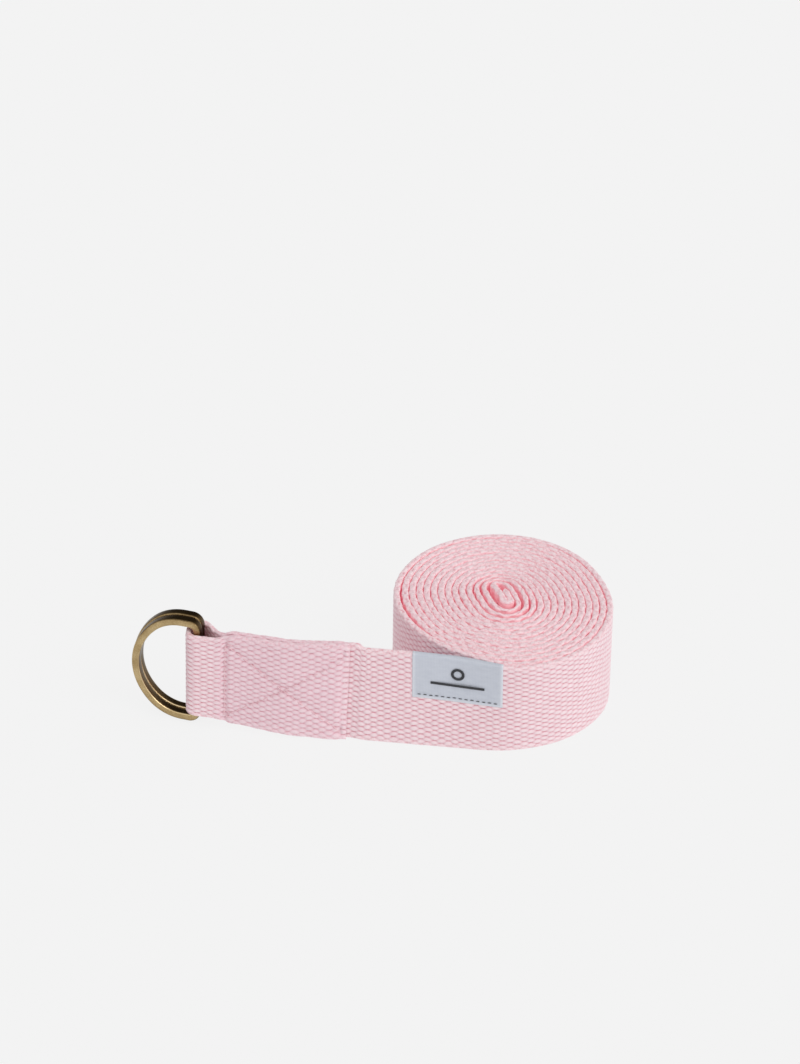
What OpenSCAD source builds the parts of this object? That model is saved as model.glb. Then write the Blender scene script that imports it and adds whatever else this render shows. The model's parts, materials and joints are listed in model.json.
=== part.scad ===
// Stretching strap: a cotton webbing strap, rolled up and standing on its edge, with two D-rings.
// The origin is the middle of the roll's core, on the surface that the strap stands on.
// The free end runs along -X from the front of the roll and carries the rings.

/* [Webbing] */
// Width of the webbing
strap_w = 38; // [30:1:50]
// Thickness of the webbing
strap_t = 2.15; // [1.6:0.05:2.8]

/* [Roll] */
// Turns of webbing wound round the core
turns = 14; // [6:1:17]
// Air between one turn and the next
turn_gap = 0.3; // [0.25:0.05:0.8]
// Straight length of the hemmed tail, which is the flat core of the roll
hem_len = 9; // [8:0.5:16]
// Length of the hem's second layer
hem_fold = 6.5; // [4:0.5:6.5]
// Room between the hem's ends and the first turn
core_end_room = 0.5; // [0.5:0.1:2]
// Extra room beside the flat core, which the first turns take up
core_slack = 0.1; // [0:0.1:2]
// Angle of the flat core from the Y axis
core_angle = 24.5; // [0:0.5:40]

/* [Free end] */
// Single webbing between the roll and the line where the free end flexes
run_len = 45; // [40:1:80]
// From the flex line to the cut end of the fold-over
jog_len = 7; // [6:0.5:12]
// Sewn length of the fold-over, from its cut end to the seam beside the rings
sewn_len = 44; // [30:1:60]
// From that seam to the middle of the rings' bars
loop_len = 10.4; // [9:0.2:16]
// Width that each edge of the webbing loses under its stitching
neck_in = 0.5; // [0.3:0.1:1.5]
// Width that each edge loses again where the webbing goes round the bars
loop_neck_in = 1.1; // [0.8:0.05:2]

/* [D-rings] */
// Diameter of a ring's straight bar
bar_d = 3.4; // [2.4:0.1:4.4]
// Thickness that the ring's wire loses against the bar where it is bent and flattened
wire_flattening = 0.1; // [0.05:0.05:0.4]
// Width of the ring's wire, seen from the front
wire_w = 2.8; // [2:0.1:3]
// From the middle of the bar to the outside of the bow
ring_reach = 24.2; // [22:0.1:30]
// Radius of the corners between the bar and the limbs, on the wire's centreline
corner_r = 2.9; // [2.6:0.1:5]
// Radius of the bow's shoulders, on the wire's centreline
shoulder_r = 15; // [12:0.5:15]
// Angle that each shoulder turns through
shoulder_angle = 45; // [35:1:50]
// Rounding of the wire's edges
wire_round = 0.6; // [0.2:0.1:0.8]
// Room between a ring's limbs and the edges of the webbing
ring_side_room = 0.4; // [0.3:0.05:1]
// Room between the two rings
ring_gap = 0.4; // [0.3:0.05:1]
// Angle that both rings are swung back from the webbing's plane
ring_swing = 7; // [0:1:15]
// Room between a bar and the webbing that goes round it
bar_room = 0.4; // [0.3:0.05:0.6]

/* [Label] */
// Width of the woven label
label_w = 31; // [20:1:36]
// Height of the label below the webbing's top edge
label_h = 18; // [12:1:24]
// Thickness of the label
label_t = 0.22; // [0.12:0.02:0.24]
// Height of the label's stitch row above its lower edge
label_row = 1.6; // [1:0.1:3]

/* [Stitching] */
// Length of one stitch
stitch_len = 2.3; // [1.6:0.1:3]
// Distance from one stitch to the next
stitch_pitch = 3.1; // [2.6:0.1:4]
// Thickness of the thread along the webbing
thread_w = 0.5; // [0.3:0.05:0.8]
// Height of a stitch above the webbing
thread_h = 0.25; // [0.15:0.05:0.4]
// Distance of the stitched box from the webbing's edges and the fold-over's end
seam_margin = 3; // [2:0.5:6]

/* [Hidden] */

webbing_pink = [0.90, 0.66, 0.70];
thread_pink = [0.93, 0.76, 0.79];
antique_brass = [0.62, 0.50, 0.30];
label_grey = [0.82, 0.85, 0.88];
label_thread_grey = [0.35, 0.35, 0.38];

// Roll: a spiral that starts flat beside the doubled tail and grows rounder
steps_per_turn = 30;
turn_pitch = strap_t + turn_gap;
core_half_length = hem_len / 2 + turn_pitch + core_end_room;
slack_turns = 0.6;
hem_lift = turn_pitch / 2 / (1 - exp(-0.5 / slack_turns)) + core_slack;
flat_softness = 0.35;
lead_len = 1;
core_turn = core_angle - 90;

function short_axis(k) = turn_pitch / 2 + turn_pitch * k + hem_lift * (1 - exp(-k / slack_turns));
function flat_length(k) = core_half_length + turn_pitch * k - short_axis(k);
// Rises from -1 to 1 as fast as a turn's straight stretches need
function flat_share(c) = c * sqrt((1 + flat_softness ^ 2) / (c ^ 2 + flat_softness ^ 2));
// The turn's place: the tail leaves the core at k = 0, and each whole k is one turn further out
function core_point(k) = let (angle = -90 - 360 * k, r = short_axis(k))
    [r * cos(angle) + flat_length(k) * flat_share(cos(angle)), r * sin(angle) + turn_pitch / 2];
function turned(p, angle) =
    [p[0] * cos(angle) - p[1] * sin(angle), p[0] * sin(angle) + p[1] * cos(angle)];

// The outermost turn ends where the turned outline is lowest, so that it heads along -X
front_steps = 720;
front_depths = [for (i = [0:front_steps]) turned(core_point(turns - 1 + i / front_steps), core_turn)[1]];
front_step = search(min(front_depths), front_depths)[0];
end_turn = turns - 1 + front_step / front_steps;
run_start = turned(core_point(end_turn), core_turn);
run_y = run_start[1];
flex_x = run_start[0] - run_len;

hem_turn_steps = 10;
hem_path = concat(
    [[hem_len / 2 - hem_fold, turn_pitch], [hem_len / 2, turn_pitch]],
    [for (i = [1:hem_turn_steps - 1]) let (a = 90 - 180 * i / hem_turn_steps)
        [hem_len / 2 + turn_pitch / 2 * cos(a), turn_pitch / 2 * (1 + sin(a))]],
    [[hem_len / 2, 0]]);
spiral_steps = ceil(end_turn * steps_per_turn);
spiral_path = [for (i = [0:spiral_steps]) core_point(end_turn * i / spiral_steps)];
roll_path = concat(
    [for (p = concat(hem_path, spiral_path)) turned(p, core_turn)],
    [run_start - [lead_len, 0]]);

// Free end, in a frame at the foot of the flex line. It tilts so that the rings clear the surface.
sewn_w = strap_w - 2 * neck_in;
loop_w = sewn_w - 2 * loop_neck_in;
layer_gap = 0.1;
layer_pitch = strap_t + layer_gap;
flex_gap = 0.3;
jog_start = 2;
jog_clear = 1;
seam_x = -(jog_len + sewn_len);
bar_x = seam_x - loop_len;
seam_lead = 1;
bar_r = bar_d / 2;
front_bar_y = strap_t / 2 + bar_room + bar_r;
back_bar_y = front_bar_y + bar_d + ring_gap;
loop_lead = 2.4;
loop_ease = 1;
loop_back_y = back_bar_y + bar_r + bar_room + strap_t / 2;
ring_inner_h = sewn_w + 2 * ring_side_room;
ring_outer_h = ring_inner_h + 2 * wire_w;
ground_gap = 0.1;
ring_drop = (ring_outer_h - strap_w) / 2;
tilt = atan((ring_drop + ground_gap) / (corner_r - bar_x));

// D-ring outline on the wire's centreline: bar, corners, limbs, shoulders and bow
limb_z = (ring_inner_h + wire_w) / 2;
wire_t = bar_d - wire_flattening;
bow_overlap = 1.5;
bow_slim = 0.01;
bar_reach = 0.6;
bar_h = 2 * (limb_z - corner_r + bar_reach);
bow_r = shoulder_r + (limb_z - shoulder_r) / cos(shoulder_angle);
bow_inset = (bow_r - shoulder_r) * sin(shoulder_angle);
limb_end = ring_reach - wire_w / 2 - bow_r + bow_inset;

box_left = seam_x;
box_right = -jog_len - seam_margin / 2;
box_low = (strap_w - sewn_w) / 2 + seam_margin;
box_high = strap_w - box_low;

function tangent_at(path, i) =
    let (step = path[min(i + 1, len(path) - 1)] - path[max(i - 1, 0)]) step / norm(step);
function path_side(path, offset) = [for (i = [0:len(path) - 1])
    let (t = tangent_at(path, i)) path[i] + offset * [-t[1], t[0]]];
function backwards(list) = [for (i = [len(list) - 1:-1:0]) list[i]];

// Webbing standing on its edge along a path in plan
module webbing(path, width, low) {
    translate([0, 0, low])
        linear_extrude(width)
            polygon(concat(path_side(path, strap_t / 2), backwards(path_side(path, -strap_t / 2))));
}

module at_free_end() {
    translate([flex_x, run_y, 0]) rotate([0, tilt, 0]) children();
}

module strap_roll() {
    color(webbing_pink) webbing(roll_path, strap_w, 0);
}

module strap_run() {
    run_end = flex_x + strap_t / 2 + flex_gap;
    color(webbing_pink)
        translate([run_end, run_y - strap_t / 2, 0])
            cube([run_start[0] - lead_len - run_end, strap_t, strap_w]);
}

// The webbing from the flex line to the rings: it steps back behind the fold-over and then
// spreads out to pass behind both bars. Its round end stands on the flex line.
module back_layer() {
    path = [[jog_start, 0], [-jog_start, 0], [-jog_len + jog_clear, layer_pitch],
            [seam_x - seam_lead, layer_pitch],
            [bar_x + loop_lead + loop_ease, loop_back_y], [bar_x + loop_lead, loop_back_y]];
    low = (strap_w - sewn_w) / 2;
    color(webbing_pink) {
        difference() {
            at_free_end() webbing(path, sewn_w, low);
            translate([flex_x, run_y - strap_w, -strap_w]) cube([strap_w, 2 * strap_w, 3 * strap_w]);
        }
        translate([flex_x, run_y, low / cos(tilt)]) cylinder(h = sewn_w / cos(tilt), d = strap_t, $fn = 48);
    }
}

module loop_outline(r) {
    for (y = [front_bar_y, back_bar_y]) translate([bar_x, y]) circle(r, $fn = 64);
    translate([bar_x - r, front_bar_y]) square([2 * r, back_bar_y - front_bar_y]);
}

// The turn of the webbing round both bars
module ring_loop() {
    inner_r = bar_r + bar_room;
    outer_r = inner_r + strap_t;
    color(webbing_pink) at_free_end() translate([0, 0, (strap_w - loop_w) / 2])
        linear_extrude(loop_w) {
            difference() {
                loop_outline(outer_r);
                loop_outline(inner_r);
                translate([bar_x, front_bar_y - 2 * outer_r])
                    square([2 * outer_r, back_bar_y - front_bar_y + 4 * outer_r]);
            }
            translate([bar_x, -strap_t / 2]) square([loop_lead, strap_t]);
            translate([bar_x, loop_back_y - strap_t / 2]) square([loop_lead, strap_t]);
        }
}

module fold_over_layer() {
    low = (strap_w - sewn_w) / 2;
    color(webbing_pink) at_free_end()
        translate([bar_x + loop_lead, -strap_t / 2, low])
            cube([-jog_len - bar_x - loop_lead, strap_t, sewn_w]);
}

// Wire section, with the ring's thickness along Y and its width along X, drawn in by slim all round
module wire_section(slim = 0) {
    flat_w = wire_w - 2 * wire_round;
    flat_t = wire_t - 2 * wire_round;
    square([flat_w, wire_t - 2 * slim], center = true);
    square([wire_w - 2 * slim, flat_t], center = true);
    for (x = [-1, 1], y = [-1, 1])
        translate([x * flat_w / 2, y * flat_t / 2]) circle(wire_round - slim, $fn = 24);
}

// A bend of the wire about the Y axis, from the +Z side towards -X
module wire_bend(radius, angle, start, slim = 0) {
    rotate([90, 0, 0]) rotate([0, 0, 90 + start]) rotate_extrude(angle = angle, $fn = 96)
        translate([radius, 0]) wire_section(slim);
}

// One half of the ring above the middle of the bar. The bow's end is a hair slimmer and stands
// inside the shoulder's, so that the two bends join as one solid.
module half_ring() {
    translate([-corner_r, 0, limb_z - corner_r]) wire_bend(corner_r, 90, -90);
    translate([-limb_end, 0, limb_z]) rotate([0, 90, 0])
        linear_extrude(limb_end - corner_r) wire_section();
    translate([-limb_end, 0, limb_z - shoulder_r]) wire_bend(shoulder_r, shoulder_angle, 0);
    translate([-limb_end + bow_inset, 0, 0])
        wire_bend(bow_r, 90 - shoulder_angle + bow_overlap, shoulder_angle - bow_overlap, bow_slim);
}

// A D-ring whose bar stands on Z at the origin and whose bow reaches towards -X
module d_ring() {
    cylinder(h = bar_h, r = bar_r, center = true, $fn = 64);
    half_ring();
    mirror([0, 0, 1]) half_ring();
}

module ring_front() {
    color(antique_brass) at_free_end() translate([bar_x, front_bar_y, strap_w / 2])
        rotate([0, 0, -ring_swing]) d_ring();
}

module ring_back() {
    color(antique_brass) at_free_end() translate([bar_x, back_bar_y, strap_w / 2])
        rotate([0, 0, -ring_swing]) d_ring();
}

// Woven label folded over the top edge of the webbing, where it leaves the roll
module label() {
    front_y = run_y - strap_t / 2 - label_t;
    color(label_grey) difference() {
        translate([run_start[0] - label_w, front_y, strap_w - label_h])
            cube([label_w, strap_t + 2 * label_t, label_h + label_t]);
        translate([run_start[0] - label_w - 1, run_y - strap_t / 2, 0])
            cube([label_w + 2, strap_t, strap_w]);
    }
}

module label_stitches() {
    margin = 1;
    count = floor((label_w - 2 * margin) / stitch_pitch * 1.5);
    pitch = (label_w - 2 * margin) / count;
    front_y = run_y - strap_t / 2 - label_t - thread_h;
    color(label_thread_grey) for (i = [0:count - 1])
        translate([run_start[0] - label_w + margin + (i + 0.2) * pitch, front_y,
                   strap_w - label_h + label_row])
            cube([0.6 * pitch, thread_h, thread_w]);
}

// A row of stitches lying on the webbing's face at height y, between two points given as [x, z]
module stitch_row(from, to, y) {
    span = norm(to - from);
    count = max(1, round(span / stitch_pitch));
    pitch = span / count;
    direction = (to - from) / span;
    for (i = [0:count - 1]) let (p = from + direction * (i + 0.5) * pitch)
        translate([p[0], y, p[1]]) rotate([0, -atan2(direction[1], direction[0]), 0])
            translate([-stitch_len / 2, 0, -thread_w / 2]) cube([stitch_len, thread_h, thread_w]);
}

module box_stitches(y) {
    inset = thread_w;
    corners = [[box_left, box_low], [box_right, box_low], [box_right, box_high], [box_left, box_high]];
    for (i = [0:3]) let (a = corners[i], b = corners[(i + 1) % 4], d = (b - a) / norm(b - a))
        stitch_row(a + inset * d, b - inset * d, y);
}

module cross_stitches(y) {
    inset = stitch_len;
    diagonals = [[[box_left, box_low], [box_right, box_high]], [[box_left, box_high], [box_right, box_low]]];
    for (line = diagonals) let (middle = (line[0] + line[1]) / 2, d = (line[1] - line[0]) / norm(line[1] - line[0])) {
        stitch_row(line[0] + inset * d, middle - inset * d, y);
        stitch_row(middle + inset * d, line[1] - inset * d, y);
    }
}

front_thread_y = -strap_t / 2 - thread_h;
back_thread_y = layer_pitch + strap_t / 2;

module front_box_stitches() { color(thread_pink) at_free_end() box_stitches(front_thread_y); }
module front_cross_stitches() { color(thread_pink) at_free_end() cross_stitches(front_thread_y); }
module back_box_stitches() { color(thread_pink) at_free_end() box_stitches(back_thread_y); }
module back_cross_stitches() { color(thread_pink) at_free_end() cross_stitches(back_thread_y); }

// The row that holds the tail's hem, on the side of the core that has room for it
module hem_stitches() {
    row_u = max(thread_w, hem_len / 2 - hem_fold + stitch_pitch / 2);
    row_v = -strap_t / 2;
    count = floor((strap_w - 2 * seam_margin) / stitch_pitch);
    pitch = (strap_w - 2 * seam_margin) / count;
    color(thread_pink) rotate([0, 0, core_turn]) for (i = [0:count - 1])
        translate([row_u, row_v - thread_h, seam_margin + (i + 0.5) * pitch - stitch_len / 2])
            cube([thread_w, thread_h, stitch_len]);
}

strap_roll();
strap_run();
back_layer();
ring_loop();
fold_over_layer();
ring_front();
ring_back();
label();
label_stitches();
front_box_stitches();
front_cross_stitches();
back_box_stitches();
back_cross_stitches();
hem_stitches();
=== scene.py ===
"""Stretching strap: cotton webbing rolled up on its edge, with two D-rings sewn to its free end.

Everything is in metres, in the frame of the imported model: the roll stands on Z = 0 around the
origin, and the free end runs along -X from the front of the roll.
"""

from __future__ import annotations

import json
import logging
import math
from dataclasses import dataclass, field
from enum import Enum
from typing import Callable, ClassVar

import bmesh
import bpy
import numpy as np
from mathutils import Matrix, Vector


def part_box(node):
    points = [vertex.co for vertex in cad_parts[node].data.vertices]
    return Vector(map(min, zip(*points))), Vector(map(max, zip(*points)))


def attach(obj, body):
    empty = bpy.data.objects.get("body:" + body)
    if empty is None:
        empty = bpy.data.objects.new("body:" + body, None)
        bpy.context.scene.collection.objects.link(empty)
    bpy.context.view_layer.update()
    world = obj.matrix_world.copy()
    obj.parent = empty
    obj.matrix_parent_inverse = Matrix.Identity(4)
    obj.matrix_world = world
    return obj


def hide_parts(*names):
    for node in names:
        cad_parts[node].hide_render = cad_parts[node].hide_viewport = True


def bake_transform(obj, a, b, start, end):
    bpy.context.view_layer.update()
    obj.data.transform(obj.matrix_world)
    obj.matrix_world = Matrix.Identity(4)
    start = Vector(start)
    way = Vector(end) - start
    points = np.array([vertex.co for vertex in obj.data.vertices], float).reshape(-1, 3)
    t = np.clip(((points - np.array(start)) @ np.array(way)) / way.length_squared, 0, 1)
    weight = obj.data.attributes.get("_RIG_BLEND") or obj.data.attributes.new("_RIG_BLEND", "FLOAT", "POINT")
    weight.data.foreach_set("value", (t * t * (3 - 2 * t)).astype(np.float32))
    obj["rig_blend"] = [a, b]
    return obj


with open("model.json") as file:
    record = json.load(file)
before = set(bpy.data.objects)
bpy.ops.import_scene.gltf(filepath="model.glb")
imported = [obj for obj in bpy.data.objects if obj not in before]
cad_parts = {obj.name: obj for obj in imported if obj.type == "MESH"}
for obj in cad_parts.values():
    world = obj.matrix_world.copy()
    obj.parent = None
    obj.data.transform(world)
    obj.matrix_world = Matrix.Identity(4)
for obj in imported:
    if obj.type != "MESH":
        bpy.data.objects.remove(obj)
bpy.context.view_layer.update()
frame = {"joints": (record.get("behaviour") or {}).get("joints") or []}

MM = 0.001
LOG = logging.getLogger("stretching_strap")

Points = np.ndarray
Colour = tuple[float, float, float]
Drape = Callable[[Points, Points], Points]
Pressing = Callable[[Points, Points, Points], Points]


def joint_place(name: str) -> Vector:
    """The place of a joint at rest.

    Args:
        name: The joint's name in the record.
    Returns:
        The joint's anchor point.
    """
    joint = next(j for j in frame["joints"] if j["name"] == name)
    return Vector(joint["pos_m"])


def smooth(value: Points | float) -> Points | float:
    """Ease from 0 to 1, held at both ends.

    Args:
        value: The share of the way, of any size.
    Returns:
        The eased share.
    """
    share = np.clip(value, 0.0, 1.0)
    return share * share * (3.0 - 2.0 * share)


def bell(distance: Points | float, width: float) -> Points | float:
    """A soft hump of height 1 around distance 0.

    Args:
        distance: How far off its middle.
        width: Its half width.
    Returns:
        The hump's height there.
    """
    return np.exp(-((distance / width) ** 2))


def wander(place: Points, wavelength: float, seed: int) -> Points:
    """A gentle irregular wave between about -1 and 1.

    Args:
        place: Where it is read, in metres.
        wavelength: Its longest wave.
        seed: Picks the phases.
    Returns:
        The wave at each place.
    """
    phases = np.random.default_rng(seed).uniform(0.0, math.tau, 4)
    ratios = (1.0, 1.73, 2.61, 3.97)
    waves = [
        np.sin(math.tau * place * ratio / wavelength + phase) / ratio**0.5
        for ratio, phase in zip(ratios, phases)
    ]
    return sum(waves) / 2.2


def resampled(points: Points, count: int) -> tuple[Points, float]:
    """A line of points spaced evenly along its length.

    Args:
        points: The line's points, one row each.
        count: How many points to return.
    Returns:
        The new points, and the line's length.
    """
    steps = np.linalg.norm(np.diff(points, axis=0), axis=1)
    along = np.concatenate([[0.0], np.cumsum(steps)])
    wanted = np.linspace(0.0, along[-1], count)
    columns = [np.interp(wanted, along, points[:, i]) for i in range(points.shape[1])]
    return np.stack(columns, axis=1), float(along[-1])


def arc(centre: tuple[float, float], radius: float, start: float, end: float, steps: int) -> Points:
    """Points on a circle's arc in plan.

    Args:
        centre: The circle's middle.
        radius: Its radius.
        start: The first point's angle in degrees.
        end: The last point's angle in degrees.
        steps: How many steps the arc has.
    Returns:
        The points, one row each.
    """
    angles = np.radians(np.linspace(start, end, steps + 1))
    return np.stack([centre[0] + radius * np.cos(angles), centre[1] + radius * np.sin(angles)], axis=1)


# --- Shader building -------------------------------------------------------------------------


class Graph:
    """Adds nodes to one shader tree and links them."""

    def __init__(self, tree: bpy.types.NodeTree) -> None:
        """Start on a tree.

        Args:
            tree: The material's or the group's tree.
        """
        self.tree = tree

    def node(self, kind: str, **settings: object) -> bpy.types.Node:
        """Add a node.

        Args:
            kind: The node's type name.
            settings: Attributes to set on it.
        Returns:
            The new node.
        """
        node = self.tree.nodes.new(kind)
        for name, value in settings.items():
            setattr(node, name, value)
        return node

    def feed(self, socket: bpy.types.NodeSocket, value: object) -> None:
        """Link a socket into another one, or set its value.

        Args:
            socket: The input to fill.
            value: An output socket, or a plain value.
        """
        if isinstance(value, bpy.types.NodeSocket):
            self.tree.links.new(value, socket)
        else:
            socket.default_value = value

    def fill(self, node: bpy.types.Node, values: dict[str | int, object]) -> None:
        """Feed several inputs of a node.

        Args:
            node: The node.
            values: A socket or a plain value for each input's name or number.
        """
        for name, value in values.items():
            self.feed(node.inputs[name], value)

    def split(self, vector: object) -> bpy.types.bpy_prop_collection:
        """The parts of a vector.

        Args:
            vector: The vector's socket.
        Returns:
            The outputs X, Y and Z.
        """
        node = self.node("ShaderNodeSeparateXYZ")
        self.feed(node.inputs[0], vector)
        return node.outputs

    def math(self, operation: str, *values: object, clamp: bool = False) -> bpy.types.NodeSocket:
        """One arithmetic step.

        Args:
            operation: The Math node's operation.
            values: Its inputs, sockets or numbers.
            clamp: Whether to keep the result between 0 and 1.
        Returns:
            The result's socket.
        """
        node = self.node("ShaderNodeMath", operation=operation, use_clamp=clamp)
        for socket, value in zip(node.inputs, values):
            self.feed(socket, value)
        return node.outputs[0]

    def noise(
        self, place: object, scale: float, detail: float = 3.0, roughness: float = 0.55
    ) -> bpy.types.NodeSocket:
        """Fractal noise.

        Args:
            place: The vector it is read at.
            scale: Its scale.
            detail: How many octaves it has.
            roughness: How strong the finer octaves are.
        Returns:
            The noise value's socket.
        """
        node = self.node("ShaderNodeTexNoise")
        self.fill(node, {"Vector": place, "Scale": scale, "Detail": detail, "Roughness": roughness})
        return node.outputs["Fac"]

    def stretched(self, place: object, scale: tuple[float, float, float]) -> bpy.types.NodeSocket:
        """A vector scaled along each axis.

        Args:
            place: The vector's socket.
            scale: The scale along X, Y and Z.
        Returns:
            The scaled vector's socket.
        """
        node = self.node("ShaderNodeMapping")
        self.fill(node, {"Vector": place, "Scale": scale})
        return node.outputs["Vector"]

    def ramp(self, value: object, stops: list[tuple[float, Colour]]) -> bpy.types.NodeSocket:
        """A colour ramp.

        Args:
            value: The factor's socket.
            stops: Positions and linear colours.
        Returns:
            The colour's socket.
        """
        node = self.node("ShaderNodeValToRGB")
        self.feed(node.inputs["Fac"], value)
        elements = node.color_ramp.elements
        while len(elements) < len(stops):
            elements.new(0.5)
        for element, (position, colour) in zip(elements, stops):
            element.position = position
            element.color = (*colour, 1.0)
        return node.outputs["Color"]

    def mix(self, share: object, first: object, second: object, blend: str = "MIX") -> bpy.types.NodeSocket:
        """Mix two colours.

        Args:
            share: How much of the second colour.
            first: A colour socket or a linear colour.
            second: A colour socket or a linear colour.
            blend: The Mix node's way of blending.
        Returns:
            The mixed colour's socket.
        """
        node = self.node("ShaderNodeMix", data_type="RGBA", blend_type=blend)
        colours = [s for s in node.inputs if s.type == "RGBA"]
        self.feed(node.inputs[0], share)
        for socket, value in zip(colours, (first, second)):
            self.feed(socket, value if isinstance(value, bpy.types.NodeSocket) else (*value, 1.0))
        return next(s for s in node.outputs if s.type == "RGBA")

    def attribute(self, name: str) -> bpy.types.NodeSocket:
        """The value of a piece's own attribute.

        Args:
            name: The attribute's name.
        Returns:
            The value's socket.
        """
        return self.node("ShaderNodeAttribute", attribute_name=name).outputs["Fac"]


def new_group(
    name: str, *results: str
) -> tuple[bpy.types.NodeTree, Graph, bpy.types.NodeSocket, bpy.types.bpy_prop_collection]:
    """An empty shader node group that reads a Place and gives plain values.

    Args:
        name: The group's name.
        results: Names of the values it gives.
    Returns:
        The group, a graph on its tree, the Place's socket, and the sockets to feed the values to.
    """
    group = bpy.data.node_groups.new(name, "ShaderNodeTree")
    group.interface.new_socket("Place", in_out="INPUT", socket_type="NodeSocketVector")
    for result in results:
        group.interface.new_socket(result, in_out="OUTPUT", socket_type="NodeSocketFloat")
    graph = Graph(group)
    place = graph.node("NodeGroupInput").outputs["Place"]
    return group, graph, place, graph.node("NodeGroupOutput").inputs


def weave_group() -> bpy.types.NodeTree:
    """The plain weave's grains: ovals in a brick lattice, with a pit between stacked grains.

    Returns:
        The group. Place counts columns along X and rows along Y; Grain is the height from 0 to 1,
        and Rim is 0 where two grains meet.
    """
    group, graph, place, results = new_group("webbing_weave", "Grain", "Rim")
    parts = graph.split(place)

    def spread(value: object, shift: float, period: float, half: float) -> bpy.types.NodeSocket:
        """How far a place is from the nearest grain's middle, squared, in half lengths of a grain.

        Args:
            value: The place's socket, in columns or rows.
            shift: Where one grain's middle is.
            period: From one grain's middle to the next.
            half: The grain's half length.
        Returns:
            The squared distance's socket.
        """
        turns = graph.math("MULTIPLY_ADD", value, 1.0 / period, 0.5 - shift / period)
        share = graph.math("SUBTRACT", graph.math("FRACT", turns), 0.5)
        distance = graph.math("MULTIPLY", share, period / half)
        return graph.math("MULTIPLY", distance, distance)

    domes = []
    for column, row in Weave.middles:
        along = spread(parts["X"], column, 2.0, Weave.grain_half_length)
        across = spread(parts["Y"], row, 1.0, Weave.grain_half_height)
        domes.append(graph.math("SUBTRACT", 1.0, graph.math("ADD", along, across)))
    dome = graph.math("MAXIMUM", *domes, clamp=True)
    graph.feed(results["Grain"], graph.math("POWER", dome, Weave.roundness))
    graph.feed(results["Rim"], graph.math("ABSOLUTE", graph.math("SUBTRACT", *domes), clamp=True))
    return group


def fibre_group() -> bpy.types.NodeTree:
    """Cotton fibre: fine strands along the yarn, and soft uneven patches.

    Returns:
        The group, with Strand, Mottle and Pick (the selvage's short floats) from 0 to 1.
    """
    group, graph, place, results = new_group("cotton_fibre", "Strand", "Mottle", "Pick")
    single = graph.noise(place, 0.75, 1.0)
    wide = graph.noise(place, 0.3, 2.0)
    graph.feed(results["Strand"], graph.noise(graph.stretched(place, (1.1, 4.0, 1.0)), 1.8, 4.0, 0.65))
    graph.feed(results["Mottle"], graph.math("MULTIPLY_ADD", single, 0.5, graph.math("MULTIPLY", wide, 0.5)))
    graph.feed(results["Pick"], graph.noise(graph.stretched(place, (1.5, 2.2, 1.0)), 1.5, 2.0, 0.6))
    return group


def tarnish_group() -> bpy.types.NodeTree:
    """Speckle and clouding of old plated brass, on Object coordinates.

    Returns:
        The group, with Speckle and Cloud from 0 to 1.
    """
    group, graph, place, results = new_group("plating_tarnish", "Speckle", "Cloud")
    graph.feed(results["Speckle"], graph.noise(place, 2600.0, 2.0, 0.7))
    graph.feed(results["Cloud"], graph.noise(place, 160.0, 3.0))
    return group


class Coordinates(Enum):
    """What a material reads its pattern from."""

    UV = "UV"
    OBJECT = "Object"


@dataclass(frozen=True)
class Finish:
    """What every finish shares: a Principled shader, its name and its plain constants."""

    name: str
    roughness: float = 0.9
    metallic: float = 0.0
    sheen: float = 0.0
    bump: float = 0.5
    bump_height: float = 0.2 * MM

    def start(
        self, coordinates: Coordinates
    ) -> tuple[bpy.types.Material, Graph, bpy.types.Node, bpy.types.NodeSocket]:
        """A new material with its constants set.

        Args:
            coordinates: What its pattern is read from.
        Returns:
            The material, a graph on its tree, its shader, and the pattern's place.
        """
        material = bpy.data.materials.new(self.name)
        material.use_nodes = True
        graph = Graph(material.node_tree)
        shader = material.node_tree.nodes["Principled BSDF"]
        graph.fill(shader, {
            "Roughness": self.roughness,
            "Metallic": self.metallic,
            "Sheen Weight": self.sheen,
            "Sheen Roughness": 0.5,
        })
        place = graph.node("ShaderNodeTexCoord").outputs[coordinates.value]
        return material, graph, shader, place

    def group(self, graph: Graph, tree: bpy.types.NodeTree, place: object) -> bpy.types.Node:
        """Place a shared node group and feed its Place.

        Args:
            graph: The material's graph.
            tree: The group.
            place: What the group is read at.
        Returns:
            The group's node.
        """
        node = graph.node("ShaderNodeGroup", node_tree=tree)
        graph.feed(node.inputs["Place"], place)
        return node

    def raise_surface(self, graph: Graph, shader: bpy.types.Node, height: bpy.types.NodeSocket) -> None:
        """Feed a height to the shader's normal through a Bump node.

        Args:
            graph: The material's graph.
            shader: Its Principled shader.
            height: The height from 0 to 1.
        """
        node = graph.node("ShaderNodeBump")
        graph.fill(node, {"Strength": self.bump, "Distance": self.bump_height, "Height": height})
        graph.feed(shader.inputs["Normal"], node.outputs["Normal"])


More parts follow.
